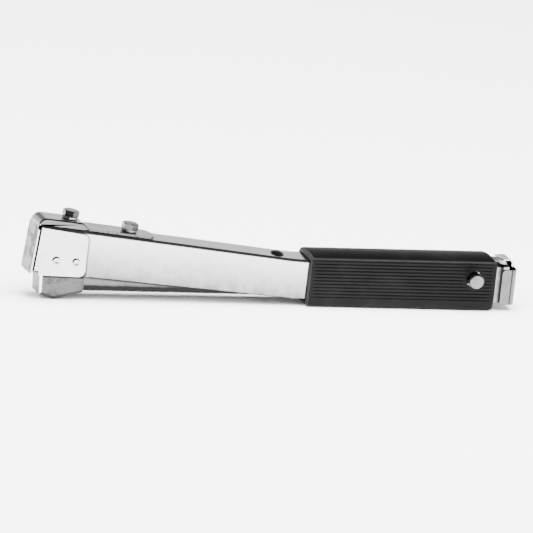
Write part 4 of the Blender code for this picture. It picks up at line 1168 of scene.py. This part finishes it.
# %% Pivot pin and nut
SEAT, PIN_REACH, PIN_HEAD = BODY_WIDTH / 2 + GAP, 19.5 * MM, 5.0 * MM
head = [
    (0.0, PIN_REACH), (3.9 * MM, PIN_REACH), (4.25 * MM, PIN_REACH - 0.08 * MM), (4.6 * MM, PIN_REACH - 0.3 * MM),
    (4.85 * MM, PIN_REACH - 0.55 * MM), (PIN_HEAD, PIN_REACH - 0.9 * MM),
]
pin_profile = head + [
    (PIN_HEAD, SEAT), (3.0 * MM, SEAT), (3.0 * MM, -SEAT), (1.9 * MM, -SEAT), (1.9 * MM, -SEAT - 6 * MM),
    (0.0, -SEAT - 6 * MM),
]
nut_profile = head + [
    (PIN_HEAD, SEAT + GAP), (2.2 * MM, SEAT + GAP), (2.2 * MM, SEAT + 6.5 * MM), (0.0, SEAT + 6.5 * MM),
]
stand_in(turned_piece("pin_head", pin_profile, ACROSS, PIVOT, PIN_PLATE, 48), "handle", "chrome", "pivot_pin")
nut_head = turned_piece("pin_nut_head", nut_profile, (-pi / 2, 0, 0), PIVOT, PIN_PLATE, 48)
stand_in(nut_head, "handle", "chrome", "pin_nut")

# %% [markdown]
# ## Nose and magazine
# The nose is the hard end that meets the work. Its underside is two flats that meet in a blunt edge, with a
# ground chamfer along both sides. The magazine behind it is a thin channel that carries the strip of staples.

# %% Nose
NOSE_WIDTH, NOSE_TOP, NOSE_REAR = 18.8 * MM, 26.0 * MM, -132.4 * MM
MAG_WIDTH, MAG_WALL, MAG_BOTTOM, MAG_TOP = 16.6 * MM, 1.0 * MM, 5.6 * MM, 17.8 * MM
MAG_FRONT, MAG_REAR = -158.5 * MM, 158.0 * MM
SLOT_FRONT, SLOT_REAR = -161.6 * MM, -159.1 * MM
low_front = (-162.7 * MM, 2.8 * MM)
nose = slab("striking_nose", [
    low_front, (-152.5 * MM, 0.0), (NOSE_REAR, MAG_BOTTOM - MM), (NOSE_REAR, NOSE_TOP),
    (low_front[0] - (NOSE_TOP - low_front[1]) * 0.06, NOSE_TOP),
], NOSE_WIDTH)
weights = nose.data.attributes.new("bevel_weight_edge", "FLOAT", "EDGE")
for edge in nose.data.edges:
    first, second = (nose.data.vertices[index].co for index in edge.vertices)
    along = (second - first).normalized()
    lengthwise = abs(along.x) > 0.8 and max(first.z, second.z) < 6 * MM
    upright_front = abs(along.z) > 0.8 and max(first.x, second.x) < -0.16
    weights.data[edge.index].value = 1.0 if lengthwise else 0.55 if upright_front else 0.0
chamfer = nose.modifiers.new("chamfer", "BEVEL")
chamfer.width = 2.3 * MM
chamfer.segments = 1
chamfer.limit_method = "WEIGHT"
add_bevel(nose, 0.35 * MM, 3, 25.0)
pocket = MAG_WIDTH / 2 + GAP
cut_box(nose, (SLOT_REAR + 0.1 * MM, -pocket, MAG_BOTTOM - GAP), (NOSE_REAR + 5 * MM, pocket, NOSE_TOP + 5 * MM))
half = BLADE_WIDTH / 2 + 0.4 * MM
cut_box(nose, (SLOT_FRONT, -half, -5 * MM), (SLOT_REAR + 0.2 * MM, half, NOSE_TOP + 5 * MM))
plain_mesh(nose, NOSE_STEEL, 30.0)
# The lower chamfer takes painted shade, the upright front chamfer a polished edge with a painted highlight.
give_faces(nose, SHADED_NOSE_STEEL, lambda face: face.normal.z < -0.4 and abs(face.normal.y) > 0.3)
give_faces(nose, POLISHED_LIT_STEEL, lambda face: face.normal.x < -0.4 and abs(face.normal.y) > 0.3)
stand_in(nose, "magazine", "nose_steel", "nose")

# %% Magazine channel
heel_rear, heel_top = PIVOT.x + 14 * MM, BODY_FLAT_TOP - BODY_WALL - 0.4 * MM
magazine = bent_sheet(
    "magazine_shell",
    rounded([
        (MAG_FRONT, MAG_BOTTOM), (MAG_REAR, MAG_BOTTOM), (MAG_REAR, MAG_TOP, 2 * MM), (heel_rear, MAG_TOP),
        (heel_rear, heel_top, 1.5 * MM), (PIVOT.x + 8 * MM, heel_top, 2 * MM),
        (PIVOT.x + 3 * MM, PIVOT.z + 6 * MM, 6 * MM), (PIVOT.x - 6 * MM, PIVOT.z + 6 * MM, 4 * MM),
        (PIVOT.x - 11 * MM, MAG_TOP), (MAG_FRONT, MAG_TOP),
    ], 6),
    MAG_WIDTH, MAG_WALL, 2.3 * MM, lambda normal, middle: normal.z < -0.5 or abs(normal.y) > 0.5, steps=6,
)
drill(magazine, 3.3 * MM, 60 * MM, ACROSS, PIVOT)
stand_in(plain_mesh(magazine, SHEET), "magazine", "sheet_steel", "magazine_channel")

# %% [markdown]
# ## Staples
# A strip is many wire staples glued side by side. One staple is a bent wire with a few flat sides, and the tree
# repeats it along the rail.

# %% Staple strip
STRIP_LOW, STRIP_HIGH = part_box("staple_strip")
WIRE = 1.25 * MM
strip_tree, given, result = geometry_tree(
    "strip_of_staples",
    [
        ("Count", "NodeSocketInt", 80), ("Spacing", "NodeSocketFloat", WIRE),
        ("Wire", "NodeSocketFloat", WIRE / 2), ("Finish", "NodeSocketMaterial", None),
    ],
)
link = strip_tree.links.new
row = strip_tree.nodes.new("GeometryNodeMeshLine")
row.mode = "OFFSET"
step = strip_tree.nodes.new("ShaderNodeCombineXYZ")
profile = strip_tree.nodes.new("GeometryNodeCurvePrimitiveCircle")
profile.inputs["Resolution"].default_value = 8
wire_mesh = strip_tree.nodes.new("GeometryNodeCurveToMesh")
wire_mesh.inputs["Fill Caps"].default_value = True
copies = strip_tree.nodes.new("GeometryNodeInstanceOnPoints")
to_curve = strip_tree.nodes.new("GeometryNodeMeshToCurve")
link(given.outputs["Count"], row.inputs["Count"])
link(given.outputs["Spacing"], step.inputs["X"])
link(step.outputs["Vector"], row.inputs["Offset"])
link(given.outputs["Wire"], profile.inputs["Radius"])
link(given.outputs["Geometry"], to_curve.inputs["Mesh"])
link(to_curve.outputs["Curve"], wire_mesh.inputs["Curve"])
link(profile.outputs["Curve"], wire_mesh.inputs["Profile Curve"])
link(row.outputs["Mesh"], copies.inputs["Points"])
link(wire_mesh.outputs["Mesh"], copies.inputs["Instance"])
finish_tree(strip_tree, given, result, copies.outputs["Instances"])

crown, shoulder = STRIP_HIGH.z - WIRE / 2, 0.5 * MM
arm = STRIP_HIGH.y - WIRE / 2
line = [(arm, STRIP_LOW.z), (arm, crown - shoulder), (arm - shoulder, crown)]
line += [(-y, z) for y, z in line[::-1]]
staple_mesh = bpy.data.meshes.new("staples")
first_x = STRIP_LOW.x + WIRE / 2
staple_mesh.from_pydata([(first_x, y, z) for y, z in line], [(k, k + 1) for k in range(len(line) - 1)], [])
staples = add_object("staples", staple_mesh)
run_tree(staples, strip_tree, Finish=STAPLE)
stand_in(plain_mesh(staples, STAPLE, 50.0, weighted=False), "magazine", "staple_steel", "staple_strip")

# %% [markdown]
# ## Pusher spring
# A close-wound spring is one curve that climbs as it turns, so it is a spiral swept with a round wire.

# %% Pusher spring
SPRING_LOW, SPRING_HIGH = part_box("pusher_spring")
coil, given, result = geometry_tree(
    "coil_spring",
    [
        ("Turns", "NodeSocketFloat", 34.0), ("Radius", "NodeSocketFloat", 2.1 * MM),
        ("Wire", "NodeSocketFloat", 0.3 * MM),
        ("Length", "NodeSocketFloat", 0.098), ("Finish", "NodeSocketMaterial", None),
    ],
)
link = coil.links.new
spiral = coil.nodes.new("GeometryNodeCurveSpiral")
spiral.inputs["Resolution"].default_value = 16
profile = coil.nodes.new("GeometryNodeCurvePrimitiveCircle")
profile.inputs["Resolution"].default_value = 7
sweep = coil.nodes.new("GeometryNodeCurveToMesh")
sweep.inputs["Fill Caps"].default_value = True
link(given.outputs["Turns"], spiral.inputs["Rotations"])
link(given.outputs["Radius"], spiral.inputs["Start Radius"])
link(given.outputs["Radius"], spiral.inputs["End Radius"])
link(given.outputs["Length"], spiral.inputs["Height"])
link(given.outputs["Wire"], profile.inputs["Radius"])
link(spiral.outputs["Curve"], sweep.inputs["Curve"])
link(profile.outputs["Curve"], sweep.inputs["Profile Curve"])
finish_tree(coil, given, result, sweep.outputs["Mesh"])
wire = 0.3 * MM
spring = add_object("pusher_coil", bpy.data.meshes.new("pusher_coil"))
spring.matrix_world = Matrix.Translation(
    (SPRING_LOW.x + 2 * wire, 0.0, (SPRING_LOW.z + SPRING_HIGH.z) / 2)
) @ Euler(LENGTHWISE).to_matrix().to_4x4()
run_tree(spring, coil, Finish=SPRING, Length=SPRING_HIGH.x - SPRING_LOW.x - 4 * wire)
stand_in(plain_mesh(spring, SPRING, 60.0, weighted=False), "follower", "spring_steel", "pusher_spring")
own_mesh(spring)

# %% [markdown]
# ## Rear cap and thumb latch
# The follower's cap closes round the end of the channel, and a springy strip inside it turns forward over the
# channel's back as a tab for the thumb.

# %% Rear cap
CAP_LOW, CAP_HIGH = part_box("rear_cap")
LATCH_X, LATCH_Z, LATCH_WIDTH, ROD_Z = 167.6 * MM, 21.0 * MM, 13.0 * MM, 12.0 * MM
cap = bent_sheet(
    "cap_shell",
    rounded([
        (CAP_LOW.x, CAP_LOW.z, 1.0 * MM), (CAP_HIGH.x, CAP_LOW.z), (CAP_HIGH.x, CAP_HIGH.z),
        (CAP_LOW.x, CAP_HIGH.z, 2.4 * MM),
    ], 6),
    CAP_HIGH.y - CAP_LOW.y, 0.8 * MM, 4.5 * MM, lambda normal, middle: normal.x > 0.5 or abs(normal.y) > 0.5,
    steps=12,
)
drill(cap, 1.8 * MM, 20 * MM, LENGTHWISE, (CAP_HIGH.x, 0.0, ROD_Z))
drill(cap, 1.5 * MM, 20 * MM, LENGTHWISE, (CAP_HIGH.x, 0.0, LATCH_Z))
# The cap takes the darker copy of the chrome, painted shade.
stand_in(plain_mesh(cap, SHADED_CHROME), "follower", "chrome", "rear_cap")

# %% Thumb latch
tab_z, tip = 33.6 * MM, 157.0 * MM
latch_path = rounded([
    (LATCH_X, LATCH_Z - 3.6 * MM), (LATCH_X, tab_z, 2.6 * MM), (160.5 * MM, tab_z, 4 * MM),
    (157.3 * MM, tab_z + 1.1 * MM),
])
latch = slab("thumb_tab", strip_outline(latch_path, 0.8 * MM), LATCH_WIDTH)
drill(latch, 1.9 * MM, 10 * MM, LENGTHWISE, (LATCH_X, 0.0, LATCH_Z))
for side in (-1, 1):
    drill(latch, 4.2 * MM, 12 * MM, (0.0, 0.0, 0.0), (tip, side * LATCH_WIDTH / 2, tab_z), sides=4)
add_bevel(latch, 0.15 * MM, 2, 50.0)
stand_in(plain_mesh(latch, CHROME), "latch", "chrome", "thumb_latch")

# %% [markdown]
# ## Pieces that keep their CAD shape
# The small parts inside have the right shape already, so they only take their finish.

# %% Finishes on CAD nodes
KEPT = {
    "clamp_block": SHEET, "nut_plate": SHEET, "bumper": BUMPER_RUBBER, "return_spring": SPRING,
    "magazine_lid": SHEET, "staple_rail": SHEET, "pivot_bush_near": BRONZE, "pivot_bush_far": BRONZE,
    "guide_rod": SPRING, "rod_stop": SPRING, "spring_collar": ZINC, "latch_rivet": CHROME, "pusher_block": NOSE_STEEL,
}
for name, finish in KEPT.items():
    NODES[name].data.materials.clear()
    NODES[name].data.materials.append(finish)
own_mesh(NODES["return_spring"])
print("finished CAD nodes:", sorted(KEPT))
